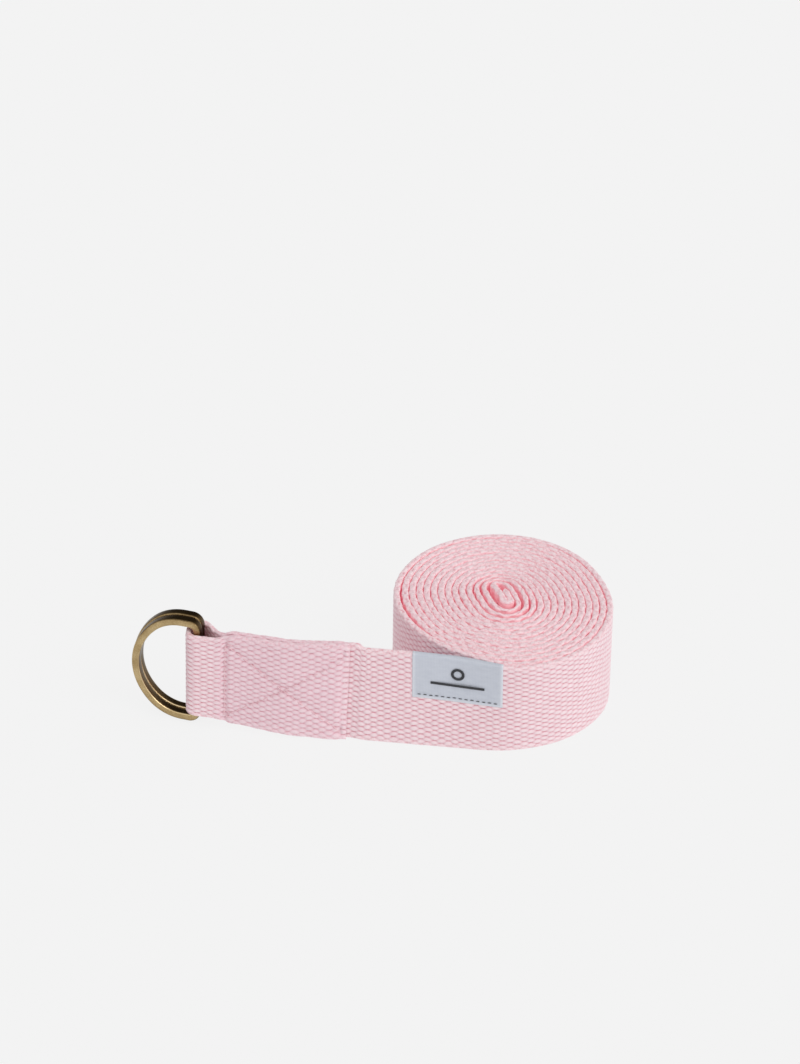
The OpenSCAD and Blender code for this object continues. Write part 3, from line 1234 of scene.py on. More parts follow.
@dataclass
class FreeEnd:
    """The single webbing from the roll to the flex line, and the sewn end that holds the rings."""

    webbing: Webbing
    roll: Roll
    jog_len: float = 7.0 * MM
    sewn_len: float = 44.0 * MM
    layer_gap: float = 0.1 * MM
    bar_d: float = 3.4 * MM
    bar_room: float = 0.4 * MM
    neck_in: float = 0.5 * MM
    loop_neck_in: float = 1.15 * MM
    extra_height: float = 1.0 * MM
    loop_skew: float = 0.15 * MM
    seam_margin: float = 3.0 * MM
    bow: float = 0.9 * MM
    forward: float = 1.8 * MM
    end_thinning: float = 1.2 * MM
    gathering: float = 0.25 * MM
    cut_lift: float = 1.3 * MM
    fold_lift: float = 0.7 * MM
    cut_drop: float = 0.35 * MM
    unevenness: float = 0.15 * MM
    # Strength of the painted shade laid over the sewn end.
    sewn_end_shade: float = 0.55
    cross_press: float = 0.50 * MM
    row_press: float = 0.18 * MM
    post_press: float = 0.15 * MM
    seam_press: float = 0.65 * MM
    fray_rise: float = 0.15 * MM
    blend_half: float = 4.6 * MM
    flex: Vector = field(init=False)
    tilt: float = field(init=False)
    bar_x: float = field(init=False)
    bars_y: tuple[float, float] = field(init=False)
    local_x: Points = field(init=False)
    layer: Points = field(init=False)

    def __post_init__(self) -> None:
        """Find the bars in the free end's own frame from the joints."""
        self.flex = joint_place("ring_end_bend")
        axis = next(j for j in frame["joints"] if j["name"] == "ring_front_swing")["axis"]
        self.tilt = math.atan2(axis[0], axis[2])
        front = joint_place("ring_front_swing") - self.flex
        back = joint_place("ring_back_swing") - self.flex
        self.bar_x = front.x * math.cos(self.tilt) - front.z * math.sin(self.tilt)
        self.bars_y = (front.y, back.y)

    @property
    def seam_x(self) -> float:
        """The seam beside the rings.

        Returns:
            Where it crosses the webbing, along the free end's frame.
        """
        return -(self.jog_len + self.sewn_len)

    @property
    def layer_pitch(self) -> float:
        """How far apart the two sewn layers lie.

        Returns:
            The distance from one layer's middle to the other's.
        """
        return self.roll.strap_t + self.layer_gap

    def place(self, x: float, y: float, z: float) -> Vector:
        """A point of the free end's own frame in the row frame.

        Args:
            x: Along the webbing from the flex line, negative towards the rings.
            y: Backwards from the middle of the webbing.
            z: Up from the lower edge.
        Returns:
            The point.
        """
        turned = Matrix.Rotation(self.tilt, 4, "Y") @ Vector((x, y, z))
        return turned + self.flex

    def bowed(self, x: Points) -> Points:
        """How far both layers of the sewn end stand off their straight line.

        Args:
            x: Places along the free end's frame.
        Returns:
            The distance backwards, which is negative towards the front.
        """
        share = np.clip((-self.jog_len - x) / self.sewn_len, 0.0, 1.0)
        ahead = smooth((-1.0 * MM - x) / (6.0 * MM)) * smooth((x - self.seam_x) / (25 * MM))
        return -self.bow * np.sin(np.pi * share) ** 1.5 - self.forward * ahead

    def thinned(self, x: Points) -> Points:
        """How much thinner the fold-over is pressed towards its cut end.

        Args:
            x: Places along the free end's frame.
        Returns:
            What is taken off its thickness.
        """
        return self.end_thinning * bell(x + self.jog_len, 3.0 * MM)

    def line(self) -> tuple[Points, Points]:
        """The centreline in the free end's frame.

        Returns:
            Plan points from the roll to the fold-over's cut end, and 0 or 1 for each point:
            1 once the webbing has gone round the bars.
        """
        pitch = self.layer_pitch
        start_x = float(self.roll.spiral(np.array([self.roll.end_turn]))[0, 0]) - self.flex.x
        reach = self.bar_d / 2 + self.bar_room + self.roll.strap_t / 2
        loop_back = self.bars_y[1] + reach
        xs = np.linspace(start_x, self.seam_x - 0.5 * MM, 500)
        back = np.stack([xs, pitch * smooth((-1.0 * MM - xs) / (5.5 * MM)) + self.bowed(xs)], axis=1)
        xs = np.linspace(self.seam_x - 0.6 * MM, self.bar_x + 0.3 * MM, 80)
        share = (self.seam_x - 0.5 * MM - xs) / (self.seam_x - 0.5 * MM - self.bar_x)
        spread = np.stack([xs, pitch + (loop_back - pitch) * smooth(share * 0.92 + 0.04)], axis=1)
        round_back = arc((self.bar_x, self.bars_y[1]), reach, 90.0, 180.0, 24)
        round_front = arc((self.bar_x, self.bars_y[0]), reach, 180.0, 270.0, 24)
        xs = np.linspace(self.bar_x + 0.3 * MM, -self.jog_len, 400)
        front = np.stack([xs, self.thinned(xs) / 2 + self.bowed(xs)], axis=1)
        back_part = np.concatenate([back, spread, round_back])
        front_part = np.concatenate([round_front, front])
        folded = np.concatenate([np.zeros(len(back_part)), np.ones(len(front_part))])
        return np.concatenate([back_part, front_part]), folded

    def edges(self, x: Points, folded: Points) -> tuple[Points, Points]:
        """The webbing's lower and upper edge.

        Args:
            x: Places along the free end's frame.
            folded: 1 where the webbing has gone round the bars.
        Returns:
            The heights of the lower and the upper edge.
        """
        width = self.roll.width
        to_seam = smooth((-self.jog_len - x) / self.sewn_len)
        to_loop = smooth((self.seam_x + 3 * MM - x) / (8 * MM))
        gathered = self.gathering * smooth((-2 * MM - x) / (5 * MM))
        necked = self.neck_in * to_seam + self.loop_neck_in * to_loop + gathered * (1 - to_seam)
        cut_end = bell(np.minimum(x + self.jog_len, 0.0), 18 * MM) * smooth((-2.2 * MM - x) / (2.4 * MM))
        wave = self.unevenness * wander(x + folded * 0.3, 0.021, 17) * smooth(-x / (12 * MM))
        dropped = cut_end * folded + bell(x + 3 * MM, 5 * MM) * (1 - folded)
        low = necked - self.cut_drop * dropped + wave
        low = np.maximum(low, 0.0)
        taller = self.extra_height * self.taller(x) * (1 - to_loop)
        high = width - necked + (self.cut_lift + self.fold_lift * folded) * cut_end + wave + taller
        return low, high

    def taller(self, x: Points | float) -> Points | float:
        """How much of its extra height the webbing has.

        Args:
            x: Places along the free end's frame.
        Returns:
            The share, from 0 beside the roll to 1.
        """
        return smooth((44 * MM - x) / (34 * MM))

    def leant(self, plan: Points, share: Points) -> Points:
        """How the free end leans back like the roll's front, and stands straight again at the bars.

        Args:
            plan: Plan points.
            share: Their share of the webbing's height.
        Returns:
            The moved points.
        """
        moved = self.roll.leant(plan, share)
        past_bars = plan[:, 0] - self.flex.x - self.bar_x
        away = smooth((past_bars - 7 * MM) / (22 * MM))
        skew = self.loop_skew * (1.0 - 2.0 * share) * smooth((8 * MM - past_bars) / (8 * MM))
        moved = plan + (moved - plan) * away[:, None]
        moved[:, 0] += skew
        return moved

    def course(self, steps_per_column: int) -> tuple[Course, int]:
        """The free end's course.

        Args:
            steps_per_column: Stations to a column of grains.
        Returns:
            The course, and its number of columns.
        """
        plan, folded = self.line()
        line = np.column_stack([plan, folded * MM])
        length = resampled(plan, 2)[1]
        columns, count = self.webbing.stations(length, steps_per_column)
        points, _ = resampled(line, count)
        local = points[:, :2]
        layer = np.clip(points[:, 2] / MM, 0.0, 1.0)
        low, high = self.edges(local[:, 0], layer)
        tilt = self.tilt * smooth((3 * MM - local[:, 0]) / (6 * MM))
        thickness = self.roll.strap_t - self.thinned(local[:, 0]) * layer
        ends = np.ones(count)
        rounded_ends(ends, 3)
        thickness[count // 2:] *= ends[count // 2:]
        from_cut = smooth((1 * MM - self.jog_len - local[:, 0]) / (3 * MM))
        from_seam = smooth((local[:, 0] - self.seam_x + 6 * MM) / (6 * MM))
        course = Course(
            centre=local + np.array([self.flex.x, self.flex.y]),
            length=length,
            low=low,
            high=high,
            thickness=thickness,
            tilt=tilt,
            # Painted shade over the sewn end, between the cut end and the seam.
            sewn=self.sewn_end_shade * from_cut * from_seam,
        )
        self.local_x = local[:, 0]
        self.layer = layer
        return course, columns

    def pressed(self, station: Points, side: Points, height: Points) -> Points:
        """How the stitching presses the faces in and the cut end's fray raises them.

        Args:
            station: Station numbers.
            side: 1 on the left face, -1 on the right one.
            height: From 0 to 1 up the face.
        Returns:
            The distance outwards at each place.
        """
        x = self.local_x[station]
        z = height * self.roll.width
        right = side < 0
        box_right = -self.jog_len - self.seam_margin / 2
        inside = (x > self.seam_x - 2 * MM) & (x < -self.jog_len + 1 * MM)
        share = np.clip((box_right - x) / (box_right - self.seam_x), 0.0, 1.0)
        low = self.seam_margin
        high = self.roll.width - self.seam_margin
        slope = (high - low) / (box_right - self.seam_x)
        lean = 1 / math.hypot(1.0, slope)
        rising = (z - (low + (high - low) * share)) * lean
        falling = (z - (high - (high - low) * share)) * lean
        span = (x > self.seam_x) & (x < box_right)
        crosses = (bell(rising, 1.5 * MM) + bell(falling, 1.5 * MM)) * span
        rows = (bell(z - low, 0.9 * MM) + bell(z - high, 0.9 * MM)) * span
        posts = bell(x - box_right, 0.9 * MM)
        seam = bell(x - self.seam_x, 1.1 * MM)
        ridge = bell(x + self.jog_len + 0.9 * MM, 0.9 * MM) * self.layer[station]
        press = self.cross_press * crosses + self.row_press * rows + self.post_press * posts
        press = press + self.seam_press * seam
        return np.where(right & inside, self.fray_rise * ridge - press, 0.0)

    def build(self, material: bpy.types.Material) -> bpy.types.Object:
        """Make and dress the free end, which bends with the sewn end at the flex line.

        Args:
            material: The webbing's material.
        Returns:
            The piece.
        """
        course, columns = self.course(self.webbing.weave.steps_per_grain)
        detail = Detail(left_steps=88, right_steps=88)
        piece = self.webbing.mesh("strap_free_end", course, columns, detail, self.leant, self.pressed)
        dress(piece, material, "webbing")
        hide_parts("strap_run", "back_layer", "ring_loop", "fold_over_layer")
        reach = Vector((self.blend_half, 0.0, 0.0))
        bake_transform(piece, "roll", "ring_end", self.flex + reach, self.flex - reach)
        return piece


# --- Rings -----------------------------------------------------------------------------------


@dataclass
class DRing:
    """One D-ring: a round bar inside the loop, and a flattened bow bent from the same wire."""

    name: str
    joint: str
    body: str
    free_end: FreeEnd
    bar_r: float = 1.7 * MM
    wire_w: float = 2.8 * MM
    wire_t: float = 3.3 * MM
    inner_h: float = 37.8 * MM
    reach: float = 24.2 * MM
    corner_r: float = 2.9 * MM
    swing: float = 7.0
    shoulder_r: float = 15.0 * MM
    shoulder_angle: float = 45.0
    squareness: float = 4.6
    section_steps: int = 32

    def section(self, bm: bmesh.types.BMesh) -> list[bmesh.types.BMEdge]:
        """The wire's rounded section round the bar's middle, with a share at each place for the plating's
        wear and for painted light.

        Args:
            bm: The mesh to make it in.
        Returns:
            The section's edges.
        """
        layer = bm.verts.layers.float.new("wear_and_painted_light")
        outer = bm.verts.layers.float.new("outer")
        ring = bmesh.ops.create_circle(bm, segments=self.section_steps, radius=1.0)["verts"]
        power = 2.0 / self.squareness
        for vert in ring:
            c, s = vert.co.x, vert.co.y
            wide = math.copysign(abs(c) ** power, c)
            thick = math.copysign(abs(s) ** power, s)
            vert.co.x = wide * self.wire_w / 2
            vert.co.y = thick * self.wire_t / 2
            # Painted highlight on the rounded corners; the flat faces get worn gold and the sides brown
            # patina.
            corner = bell(abs(wide) - abs(thick), 0.22) * (abs(wide) + abs(thick) > 1.5)
            face = smooth((abs(thick) - 0.86) / 0.12)
            vert[layer] = max(0.55 * face, 0.9 * corner, 0.08)
            vert[outer] = float(smooth(wide)) * (1.0 - 0.7 * face)
        return list({e for v in ring for e in v.link_edges})

    def bend(self, bm: bmesh.types.BMesh, edges: list, centre: Vector, angle: float, steps: int) -> list:
        """Spin the section round an axis along Y.

        Args:
            bm: The mesh.
            edges: The section's open edges.
            centre: A point on the axis.
            angle: The turn in degrees, from +Z towards -X.
            steps: How many steps it takes.
        Returns:
            The new open edges.
        """
        verts = list({v for e in edges for v in e.verts})
        made = bmesh.ops.spin(
            bm, geom=verts + edges, cent=centre, axis=(0, 1, 0), dvec=(0, 0, 0),
            angle=-math.radians(angle), steps=steps, use_merge=False, use_duplicate=False,
        )
        return [g for g in made["geom_last"] if isinstance(g, bmesh.types.BMEdge)]

    def extend(self, bm: bmesh.types.BMesh, edges: list, shift: Vector) -> list:
        """Draw the section out in a straight line.

        Args:
            bm: The mesh.
            edges: The section's open edges.
            shift: How far and which way.
        Returns:
            The new open edges.
        """
        made = bmesh.ops.extrude_edge_only(bm, edges=edges)["geom"]
        verts = [g for g in made if isinstance(g, bmesh.types.BMVert)]
        bmesh.ops.translate(bm, verts=verts, vec=shift)
        moved = set(verts)
        return [g for g in made if isinstance(g, bmesh.types.BMEdge) and set(g.verts) <= moved]

    def round_bar(self, bm: bmesh.types.BMesh, corner_z: float) -> None:
        """Make the bar's section round between its corners.

        Args:
            bm: The mesh.
            corner_z: Where the corner starts.
        """
        for vert in bm.verts:
            if vert.co.z > corner_z + 0.01 * MM or vert.co.x < -self.wire_w * 0.8:
                continue
            share = 1.0 - smooth((vert.co.z - corner_z + 1.0 * MM) / (1.0 * MM))
            flat = Vector((vert.co.x, vert.co.y, 0.0))
            vert.co += (flat.normalized() * self.bar_r - flat) * float(share)

    def build(self, material: bpy.types.Material) -> bpy.types.Object:
        """Make and dress the ring.

        Args:
            material: The brass material.
        Returns:
            The piece.
        """
        limb_z = (self.inner_h + self.wire_w) / 2
        corner_z = limb_z - self.corner_r
        shoulder = math.radians(self.shoulder_angle)
        bow_r = self.shoulder_r + (limb_z - self.shoulder_r) / math.cos(shoulder)
        bow_inset = (bow_r - self.shoulder_r) * math.sin(shoulder)
        limb_end = self.reach - self.wire_w / 2 - bow_r + bow_inset
        bm = bmesh.new()
        edges = self.section(bm)
        bar_steps = 16
        for _ in range(bar_steps):
            edges = self.extend(bm, edges, Vector((0, 0, corner_z / bar_steps)))
        edges = self.bend(bm, edges, Vector((-self.corner_r, 0, corner_z)), 90.0, 14)
        edges = self.extend(bm, edges, Vector((self.corner_r - limb_end, 0, 0)))
        shoulder_centre = Vector((-limb_end, 0, limb_z - self.shoulder_r))
        edges = self.bend(bm, edges, shoulder_centre, self.shoulder_angle, 20)
        self.bend(bm, edges, Vector((bow_inset - limb_end, 0, 0)), 90.0 - self.shoulder_angle, 24)
        self.round_bar(bm, corner_z)
        wear_and_painted_light, outer = bm.verts.layers.float["wear_and_painted_light"], bm.verts.layers.float["outer"]
        # Painted shade: the wire's outer side is darkened away from the middle of the bar, so the upper
        # limb's top reads dark brown.
        for vert in bm.verts:
            shaded = vert[outer] * float(smooth((vert.co.z - 4 * MM) / (10 * MM)))
            vert[wear_and_painted_light] *= 1.0 - 0.9 * shaded
        half = bm.verts[:] + bm.edges[:] + bm.faces[:]
        bmesh.ops.mirror(bm, geom=half, matrix=Matrix(), merge_dist=0.01 * MM, axis="Z")
        bmesh.ops.remove_doubles(bm, verts=bm.verts, dist=0.005 * MM)
        tilt = Matrix.Rotation(self.free_end.tilt, 4, "Y")
        swing = Matrix.Rotation(-math.radians(self.swing), 4, "Z")
        move = Matrix.Translation(joint_place(self.joint))
        bmesh.ops.transform(bm, matrix=move @ tilt @ swing, verts=bm.verts)
        return hand_over(self.name, bm, material, "antique_brass", self.body, self.body)


# --- Stitching and label ---------------------------------------------------------------------


class Facing(Enum):
    """Which face of the sewn end a row of stitches lies on."""

    FRONT = "front"
    BACK = "back"


@dataclass
class Stitching:
    """The stitched box and cross on both faces of the sewn end."""

    free_end: FreeEnd
    stitch_len: float = 2.5 * MM
    stitch_pitch: float = 3.1 * MM
    thread_w: float = 0.46 * MM
    sink: float = 0.10 * MM
    corner_space: float = 0.06
    groove: float = 0.3 * MM
    end_dip: float = 0.35

    def add(self, bm: bmesh.types.BMesh, x: float, z: float, angle: float, facing: Facing) -> None:
        """One stitch: a plump thread whose ends dive into the cloth.

        Args:
            bm: The mesh to add it to.
            x: Its middle along the free end's frame.
            z: Its middle's height.
            angle: Its direction in degrees from the webbing's length.
            facing: The face it lies on.
        """
        end = self.free_end
        half = self.stitch_len / 2
        made = bead(bm)
        outward = -1.0 if facing is Facing.FRONT else 1.0
        middle = 0.0 if facing is Facing.FRONT else end.layer_pitch
        face = end.roll.strap_t / 2 - self.sink - self.groove
        y = middle + outward * face + float(end.bowed(np.array([x]))[0])
        if facing is Facing.FRONT:
            y += float(end.thinned(np.array([x]))[0])
        upright = Matrix.Rotation(math.radians(-angle), 4, "Y")
        spot = np.array([[end.flex.x + x, end.flex.y]])
        y += float(end.leant(spot, np.array([z / end.roll.width]))[0, 1]) - end.flex.y
        for vert in made:
            along, wide, lift = vert.co.z, vert.co.x, vert.co.y
            bend = -self.end_dip * self.thread_w * along**4
            rise = (lift * self.thread_w / 2 + bend) * outward
            vert.co = upright @ Vector((along * half, rise, wide * self.thread_w / 2))
            vert.co = end.place(x + vert.co.x, y + vert.co.y, z + vert.co.z)

    def row(
        self, bm: bmesh.types.BMesh, start: tuple[float, float], stop: tuple[float, float], facing: Facing
    ) -> None:
        """A straight row of stitches.

        Args:
            bm: The mesh to add it to.
            start: Its first end as x and z.
            stop: Its other end.
            facing: The face it lies on.
        """
        span = math.dist(start, stop)
        count = max(1, round(span / self.stitch_pitch))
        angle = math.degrees(math.atan2(stop[1] - start[1], stop[0] - start[0]))
        for i in range(count):
            share = (i + 0.5) / count
            x, z = (a + (b - a) * share for a, b in zip(start, stop))
            self.add(bm, x, z, angle, facing)

    def build(self, material: bpy.types.Material) -> list[bpy.types.Object]:
        """Make and dress the rows on both faces.

        Args:
            material: The thread's material.
        Returns:
            The four pieces.
        """
        end = self.free_end
        left, right = end.seam_x, -end.jog_len - end.seam_margin / 2
        low = end.neck_in + end.seam_margin
        high = end.roll.width - low
        corners = [(left, low), (right, low), (right, high), (left, high)]
        middle = ((left + right) / 2, (low + high) / 2)
        pieces = []
        for facing in Facing:
            box = bmesh.new()
            for i, corner in enumerate(corners):
                self.row(box, corner, corners[(i + 1) % 4], facing)
            cross = bmesh.new()
            for corner in corners:
                inner = tuple(c + (m - c) * self.corner_space for c, m in zip(corner, middle))
                self.row(cross, inner, middle, facing)
            for kind, bm in (("box", box), ("cross", cross)):
                name = f"{facing.value}_{kind}"
                piece = hand_over(
                    f"{name}_thread", bm, material, "seam_thread", "ring_end", f"{name}_stitches"
                )
                pieces.append(piece)
        return pieces


@dataclass
class HemStitching:
    """The row that holds the tail's hem in the roll's core."""

    roll: Roll
    stitch_len: float = 2.3 * MM
    stitch_space: float = 0.8 * MM
    thread: float = 0.5 * MM
    count: int = 10

    def build(self, material: bpy.types.Material) -> bpy.types.Object:
        """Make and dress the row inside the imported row's box.

        Args:
            material: The thread's material.
        Returns:
            The piece.
        """
        low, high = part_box("hem_stitches")
        middle = (low + high) / 2
        pitch = (high.z - low.z + self.stitch_space) / self.count
        bm = bmesh.new()
        for i in range(self.count):
            z = low.z + self.stitch_len / 2 + i * pitch
            for vert in bead(bm):
                vert.co = (
                    middle.x + vert.co.x * self.thread / 2,
                    middle.y + vert.co.y * self.thread / 2,
                    z + vert.co.z * self.stitch_len / 2 + self.roll.core_raise,
                )
        return hand_over("hem_thread", bm, material, "seam_thread", "roll", "hem_stitches")


@dataclass
class Label:
    """The woven label folded over the webbing's upper edge, with a plain motif and a stitch row."""

    roll: Roll
    free_end: FreeEnd
    thickness: float = 0.2 * MM
    lift: float = 0.06 * MM
    columns: int = 62
    rows: int = 80
    row_height: float = 1.6 * MM
    motif_ring: float = 1.9 * MM
    motif_line: float = 1.0 * MM
    motif_rule: float = 19.0 * MM
    motif_height: float = 9.6 * MM
    motif_top: float = 1.9 * MM
    motif_foot: float = 2.6 * MM
    rule_depth: float = 0.3 * MM
    flatness: float = 0.4
    shift: float = 3.0 * MM
    widening: float = 1.03
    shoulder_drop: float = 0.55
    top_rise: float = 0.62
    sag: float = 0.06 * MM
    stitch_count: int = 14
    stitch_margin: float = 1.0 * MM
    low: Vector = field(init=False)
    high: Vector = field(init=False)
    run_low: Vector = field(init=False)
    run_high: Vector = field(init=False)
    half: float = field(init=False)
    straight: float = field(init=False)

    def __post_init__(self) -> None:
        """Read the label's and the run's boxes and lay out the fold over the top edge."""
        self.low, self.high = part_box("label")
        self.run_low, self.run_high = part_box("strap_run")
        self.half = (self.run_high.y - self.run_low.y) / 2 + self.lift
        self.straight = self.run_high.z - self.half * self.shoulder_drop - self.low.z

    @property
    def width(self) -> float:
        """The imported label's width.

        Returns:
            The width along the webbing.
        """
        return self.high.x - self.low.x

    @property
    def centre_x(self) -> float:
        """The label's middle along the webbing.

        Returns:
            Its place along X.
        """
        return (self.low.x + self.high.x) / 2 + self.shift

    @property
    def front_y(self) -> float:
        """The label's front face.

        Returns:
            Its place along Y, on upright webbing.
        """
        return self.run_low.y - self.lift - self.thickness

    def sheet_place(self, share_x: float, run: float) -> Vector:
        """A place on the label's middle surface.

        Args:
            share_x: From 0 at the label's left to 1 at its right.
            run: Distance from the front's lower edge, up, over the top and down the back.
        Returns:
            The point in the row frame.
        """
        x = self.centre_x + self.width * (share_x - 0.5) * self.widening
        y = (self.run_low.y + self.run_high.y) / 2
        flat_top = self.low.z + self.straight
        over = run - self.straight
        bend = math.pi * self.half
        if over < 0.0:
            sag = self.sag * math.sin(share_x * 9.0 + run * 300.0)
            place = Vector((x, y - self.half + sag, self.low.z + run))
        elif over < bend:
            angle = over / self.half
            top = flat_top + self.half * math.sin(angle) * self.top_rise
            place = Vector((x, y - self.half * math.cos(angle), top))
        else:
            place = Vector((x, y + self.half, max(flat_top + bend - over, self.low.z)))
        return self.laid(place)

    def laid(self, place: Vector) -> Vector:
        """Move a place that was set out on upright webbing to where the webbing really stands.

        Args:
            place: A point on upright webbing.
        Returns:
            The point, leant as the webbing's middle leans and lifted to its higher edge.
        """
        share = np.array([place.z / self.roll.width])
        middle = np.array([[place.x, self.free_end.flex.y]])
        lean = float(self.roll.leant(middle, share)[0, 1] - middle[0, 1])
        lift = self.free_end.extra_height * float(self.free_end.taller(place.x - self.free_end.flex.x))
        return Vector((place.x, place.y + lean, place.z + lift))

    def build(self, cloth: bpy.types.Material, thread: bpy.types.Material) -> list[bpy.types.Object]:
        """Make and dress the label, its motif and its stitch row.

        Args:
            cloth: The label's material.
            thread: The dark thread's material.
        Returns:
            The three pieces.
        """
        total = 2 * self.straight + math.pi * self.half
        bm = bmesh.new()
        bmesh.ops.create_grid(bm, x_segments=self.columns, y_segments=self.rows, size=0.5)
        uv = bm.loops.layers.uv.new("label")
        rim = bm.verts.layers.float.new("rim")
        for face in bm.faces:
            for loop in face.loops:
                loop[uv].uv = (loop.vert.co.x + 0.5, loop.vert.co.y + 0.5)
        for vert in bm.verts:
            share_x, share_y = vert.co.x + 0.5, vert.co.y + 0.5
            side = min(share_x, 1 - share_x) * self.width
            end = min(share_y, 1 - share_y) * total
            vert[rim] = float(bell(min(side, end), 0.7 * MM))
            vert.co = self.sheet_place(share_x, share_y * total)
        bmesh.ops.recalc_face_normals(bm, faces=bm.faces)
        bmesh.ops.solidify(bm, geom=bm.faces[:], thickness=self.thickness)
        label = hand_over("label_cloth", bm, cloth, "label_cloth", "roll", "label")
        motif = self.motif(thread)
        row = self.stitch_row(thread)
        return [label, motif, row]

    def motif(self, material: bpy.types.Material) -> bpy.types.Object:
        """A plain ring above a plain rule, raised a thread's height.

        Args:
            material: The dark thread's material.
        Returns:
            The piece.
        """
        upright = Matrix.Rotation(math.pi / 2, 3, "X")
        bm = bmesh.new()
        made = bmesh.ops.create_circle(bm, segments=12, radius=self.motif_line / 2)["verts"]
        bmesh.ops.rotate(bm, verts=made, cent=(0, 0, 0), matrix=upright)
        bmesh.ops.translate(bm, verts=made, vec=(self.motif_ring, 0, 0))
        edges = list({e for v in made for e in v.link_edges})
        bmesh.ops.spin(
            bm, geom=made + edges, cent=(0, 0, 0), axis=(0, 0, 1), dvec=(0, 0, 0),
            angle=math.tau, steps=48, use_merge=True, use_duplicate=False,
        )
        bmesh.ops.rotate(bm, verts=bm.verts, cent=(0, 0, 0), matrix=upright)
        bmesh.ops.translate(bm, verts=bm.verts, vec=(0, 0, self.motif_top))
        rule = bmesh.ops.create_cube(bm, size=1.0)["verts"]
        bmesh.ops.scale(bm, verts=rule, vec=(self.motif_rule, self.rule_depth, self.motif_line))
        bmesh.ops.translate(bm, verts=rule, vec=(0, 0, -self.motif_foot))
        edges = list({e for v in rule for e in v.link_edges})
        bmesh.ops.bevel(
            bm, geom=edges, offset=0.12 * MM, affect="EDGES", segments=2, profile=0.5, material=-1
        )
        spot = Vector((self.centre_x, self.front_y, self.low.z + self.motif_height))
        for vert in bm.verts:
            flattened = Vector((vert.co.x, vert.co.y * self.flatness, vert.co.z))
            vert.co = self.laid(spot + flattened)
        return hand_over("label_motif", bm, material, "label_thread", "roll")

    def stitch_row(self, material: bpy.types.Material) -> bpy.types.Object:
        """The row of short dark stitches along the label's lower edge.

        Args:
            material: The dark thread's material.
        Returns:
            The piece.
        """
        pitch = (self.width - 2 * self.stitch_margin) / self.stitch_count
        bm = bmesh.new()
        for i in range(self.stitch_count):
            x = self.low.x + self.stitch_margin + (i + 0.5) * pitch + self.shift
            z = self.low.z + self.row_height + 0.06 * MM * math.sin(i * 2.3)
            for vert in bead(bm):
                thread = Vector((vert.co.z * pitch * 0.33, vert.co.y * 0.13 * MM, vert.co.x * 0.16 * MM))
                vert.co = self.laid(Vector((x, self.front_y, z)) + thread)
        return hand_over("label_row_thread", bm, material, "label_thread", "roll", "label_stitches")


# --- Stage -----------------------------------------------------------------------------------


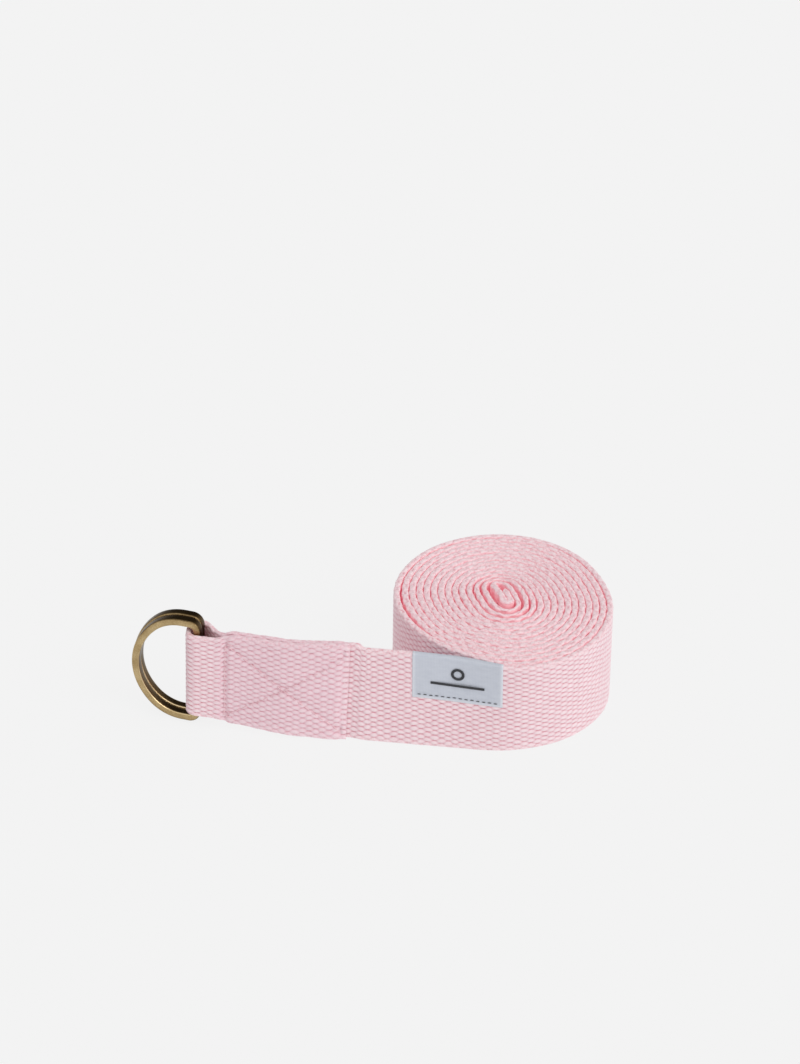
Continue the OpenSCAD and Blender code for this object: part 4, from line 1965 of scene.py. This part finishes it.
@dataclass(frozen=True)
class Studio:
    """Pale floor, soft light and the camera."""

    backdrop: float = 0.896
    ambient: float = 0.64
    key_strength: float = 1.15
    key_angle: float = 38.0
    floor_half: float = 4.0
    floor_tone: float = 0.05
    floor_drop: float = 0.4 * MM
    card_behind: float = 0.84
    card_above: float = 0.54
    card_dark: Colour = (0.10, 0.09, 0.08)
    card_surround: Colour = (1.15, 1.15, 1.15)
    azimuth: float = 8.0
    elevation: float = 33.0
    distance: float = 1.055
    aim: tuple[float, float, float] = (-0.0371, 0.0074, 0.0575)
    lens: float = 100.0

    def camera(self) -> None:
        """Create the camera and make it the scene's."""
        a, e = math.radians(self.azimuth), math.radians(self.elevation)
        back = Vector((math.sin(a) * math.cos(e), -math.cos(a) * math.cos(e), math.sin(e)))
        data = bpy.data.cameras.new("camera")
        data.lens = self.lens
        data.sensor_width = 36.0
        data.clip_end = 20.0
        camera = bpy.data.objects.new("camera", data)
        camera.location = Vector(self.aim) + back * self.distance
        camera.rotation_euler = (math.pi / 2 - e, 0.0, a)
        bpy.context.scene.collection.objects.link(camera)
        bpy.context.scene.camera = camera

    def world(self) -> None:
        """Even light from all round, a dark card behind for metal to mirror, and a pale backdrop."""
        world = bpy.data.worlds.new("studio")
        world.use_nodes = True
        graph = Graph(world.node_tree)
        lit = world.node_tree.nodes["Background"]
        graph.fill(lit, {"Color": (1.0, 1.0, 1.0, 1.0), "Strength": self.ambient})
        seen = graph.node("ShaderNodeBackground")
        graph.feed(seen.inputs["Color"], (self.backdrop, self.backdrop, self.backdrop, 1.0))
        card = graph.node("ShaderNodeBackground")
        parts = graph.split(graph.node("ShaderNodeTexCoord").outputs["Generated"])
        above = graph.math("MULTIPLY", parts["Z"], self.card_above)
        behind = graph.math("MULTIPLY_ADD", parts["Y"], self.card_behind, above)
        away = graph.math("MULTIPLY_ADD", behind, -2.6, 2.3, clamp=True)
        graph.feed(card.inputs["Color"], graph.mix(away, self.card_dark, self.card_surround))
        rays = graph.node("ShaderNodeLightPath").outputs
        mirrored = graph.node("ShaderNodeMixShader")
        graph.fill(mirrored, {0: rays["Is Glossy Ray"], 1: lit.outputs[0], 2: card.outputs[0]})
        chooser = graph.node("ShaderNodeMixShader")
        graph.fill(chooser, {0: rays["Is Camera Ray"], 1: mirrored.outputs[0], 2: seen.outputs[0]})
        graph.feed(world.node_tree.nodes["World Output"].inputs["Surface"], chooser.outputs[0])
        bpy.context.scene.world = world

    def light(self) -> None:
        """A broad soft key from the upper right and front."""
        data = bpy.data.lights.new("key", "SUN")
        data.energy = self.key_strength
        data.angle = math.radians(self.key_angle)
        data.color = (1.0, 0.985, 0.97)
        key = bpy.data.objects.new("key", data)
        direction = Vector((0.75, -0.45, 0.75)).normalized()
        key.rotation_euler = direction.to_track_quat("Z", "Y").to_euler()
        bpy.context.scene.collection.objects.link(key)

    def floor(self) -> None:
        """A pale floor that glows a little, so that shadows on it stay faint."""
        bm = bmesh.new()
        bmesh.ops.create_grid(bm, x_segments=1, y_segments=1, size=self.floor_half)
        bmesh.ops.translate(bm, verts=bm.verts, vec=(0, 0, -self.floor_drop))
        floor = finished("floor", bm)
        material = bpy.data.materials.new("floor")
        material.use_nodes = True
        shader = material.node_tree.nodes["Principled BSDF"]
        Graph(material.node_tree).fill(shader, {
            "Base Color": (self.floor_tone, self.floor_tone, self.floor_tone, 1.0),
            "Roughness": 1.0,
            "Specular IOR Level": 0.0,
            "Emission Color": (1.0, 1.0, 1.0, 1.0),
            "Emission Strength": self.floor_glow,
        })
        floor.data.materials.append(material)

    @property
    def floor_glow(self) -> float:
        """What the floor has to give off to look like the backdrop.

        Returns:
            Its emission strength.
        """
        lit = self.floor_tone * (self.ambient + self.key_strength * 0.65 / math.pi)
        return self.backdrop - lit

    def build(self) -> None:
        """Set everything up."""
        self.camera()
        self.world()
        self.light()
        self.floor()
        bpy.context.scene.view_settings.view_transform = "Standard"
        bpy.context.scene.view_settings.look = "None"


def main() -> None:
    """Build the strap's pieces in order, then the stage."""
    logging.basicConfig(level=logging.INFO, format="%(message)s")
    Studio().build()
    weave, fibre, tarnish = weave_group(), fibre_group(), tarnish_group()
    cotton = WebbingFinish(
        "pink_cotton_webbing", roughness=0.92, sheen=0.35, bump=0.55, bump_height=0.3 * MM
    ).build(weave, fibre)
    seam_thread = ThreadFinish("seam_thread", roughness=0.8, bump=0.4, bump_height=0.05 * MM).build()
    label_thread = ThreadFinish(
        "label_thread", roughness=0.7, bump=0.3, bump_height=0.03 * MM,
        light=(0.035, 0.035, 0.04), dark=(0.015, 0.015, 0.02),
    ).build()
    label_cloth = LabelFinish(
        "label_satin", roughness=0.55, sheen=0.1, bump=0.25, bump_height=0.05 * MM
    ).build()
    brass = BrassFinish(
        "antique_brass", roughness=0.22, metallic=1.0, bump=0.12, bump_height=0.03 * MM
    ).build(tarnish)

    webbing = Webbing(Weave())
    roll = Roll(webbing)
    roll.build(cotton)
    free_end = FreeEnd(webbing, roll)
    free_end.build(cotton)
    for side in ("front", "back"):
        DRing(f"{side}_d_ring", f"ring_{side}_swing", f"ring_{side}", free_end).build(brass)
    Stitching(free_end).build(seam_thread)
    HemStitching(roll).build(seam_thread)
    Label(roll, free_end).build(label_cloth, label_thread)


if __name__ == "__main__":
    main()
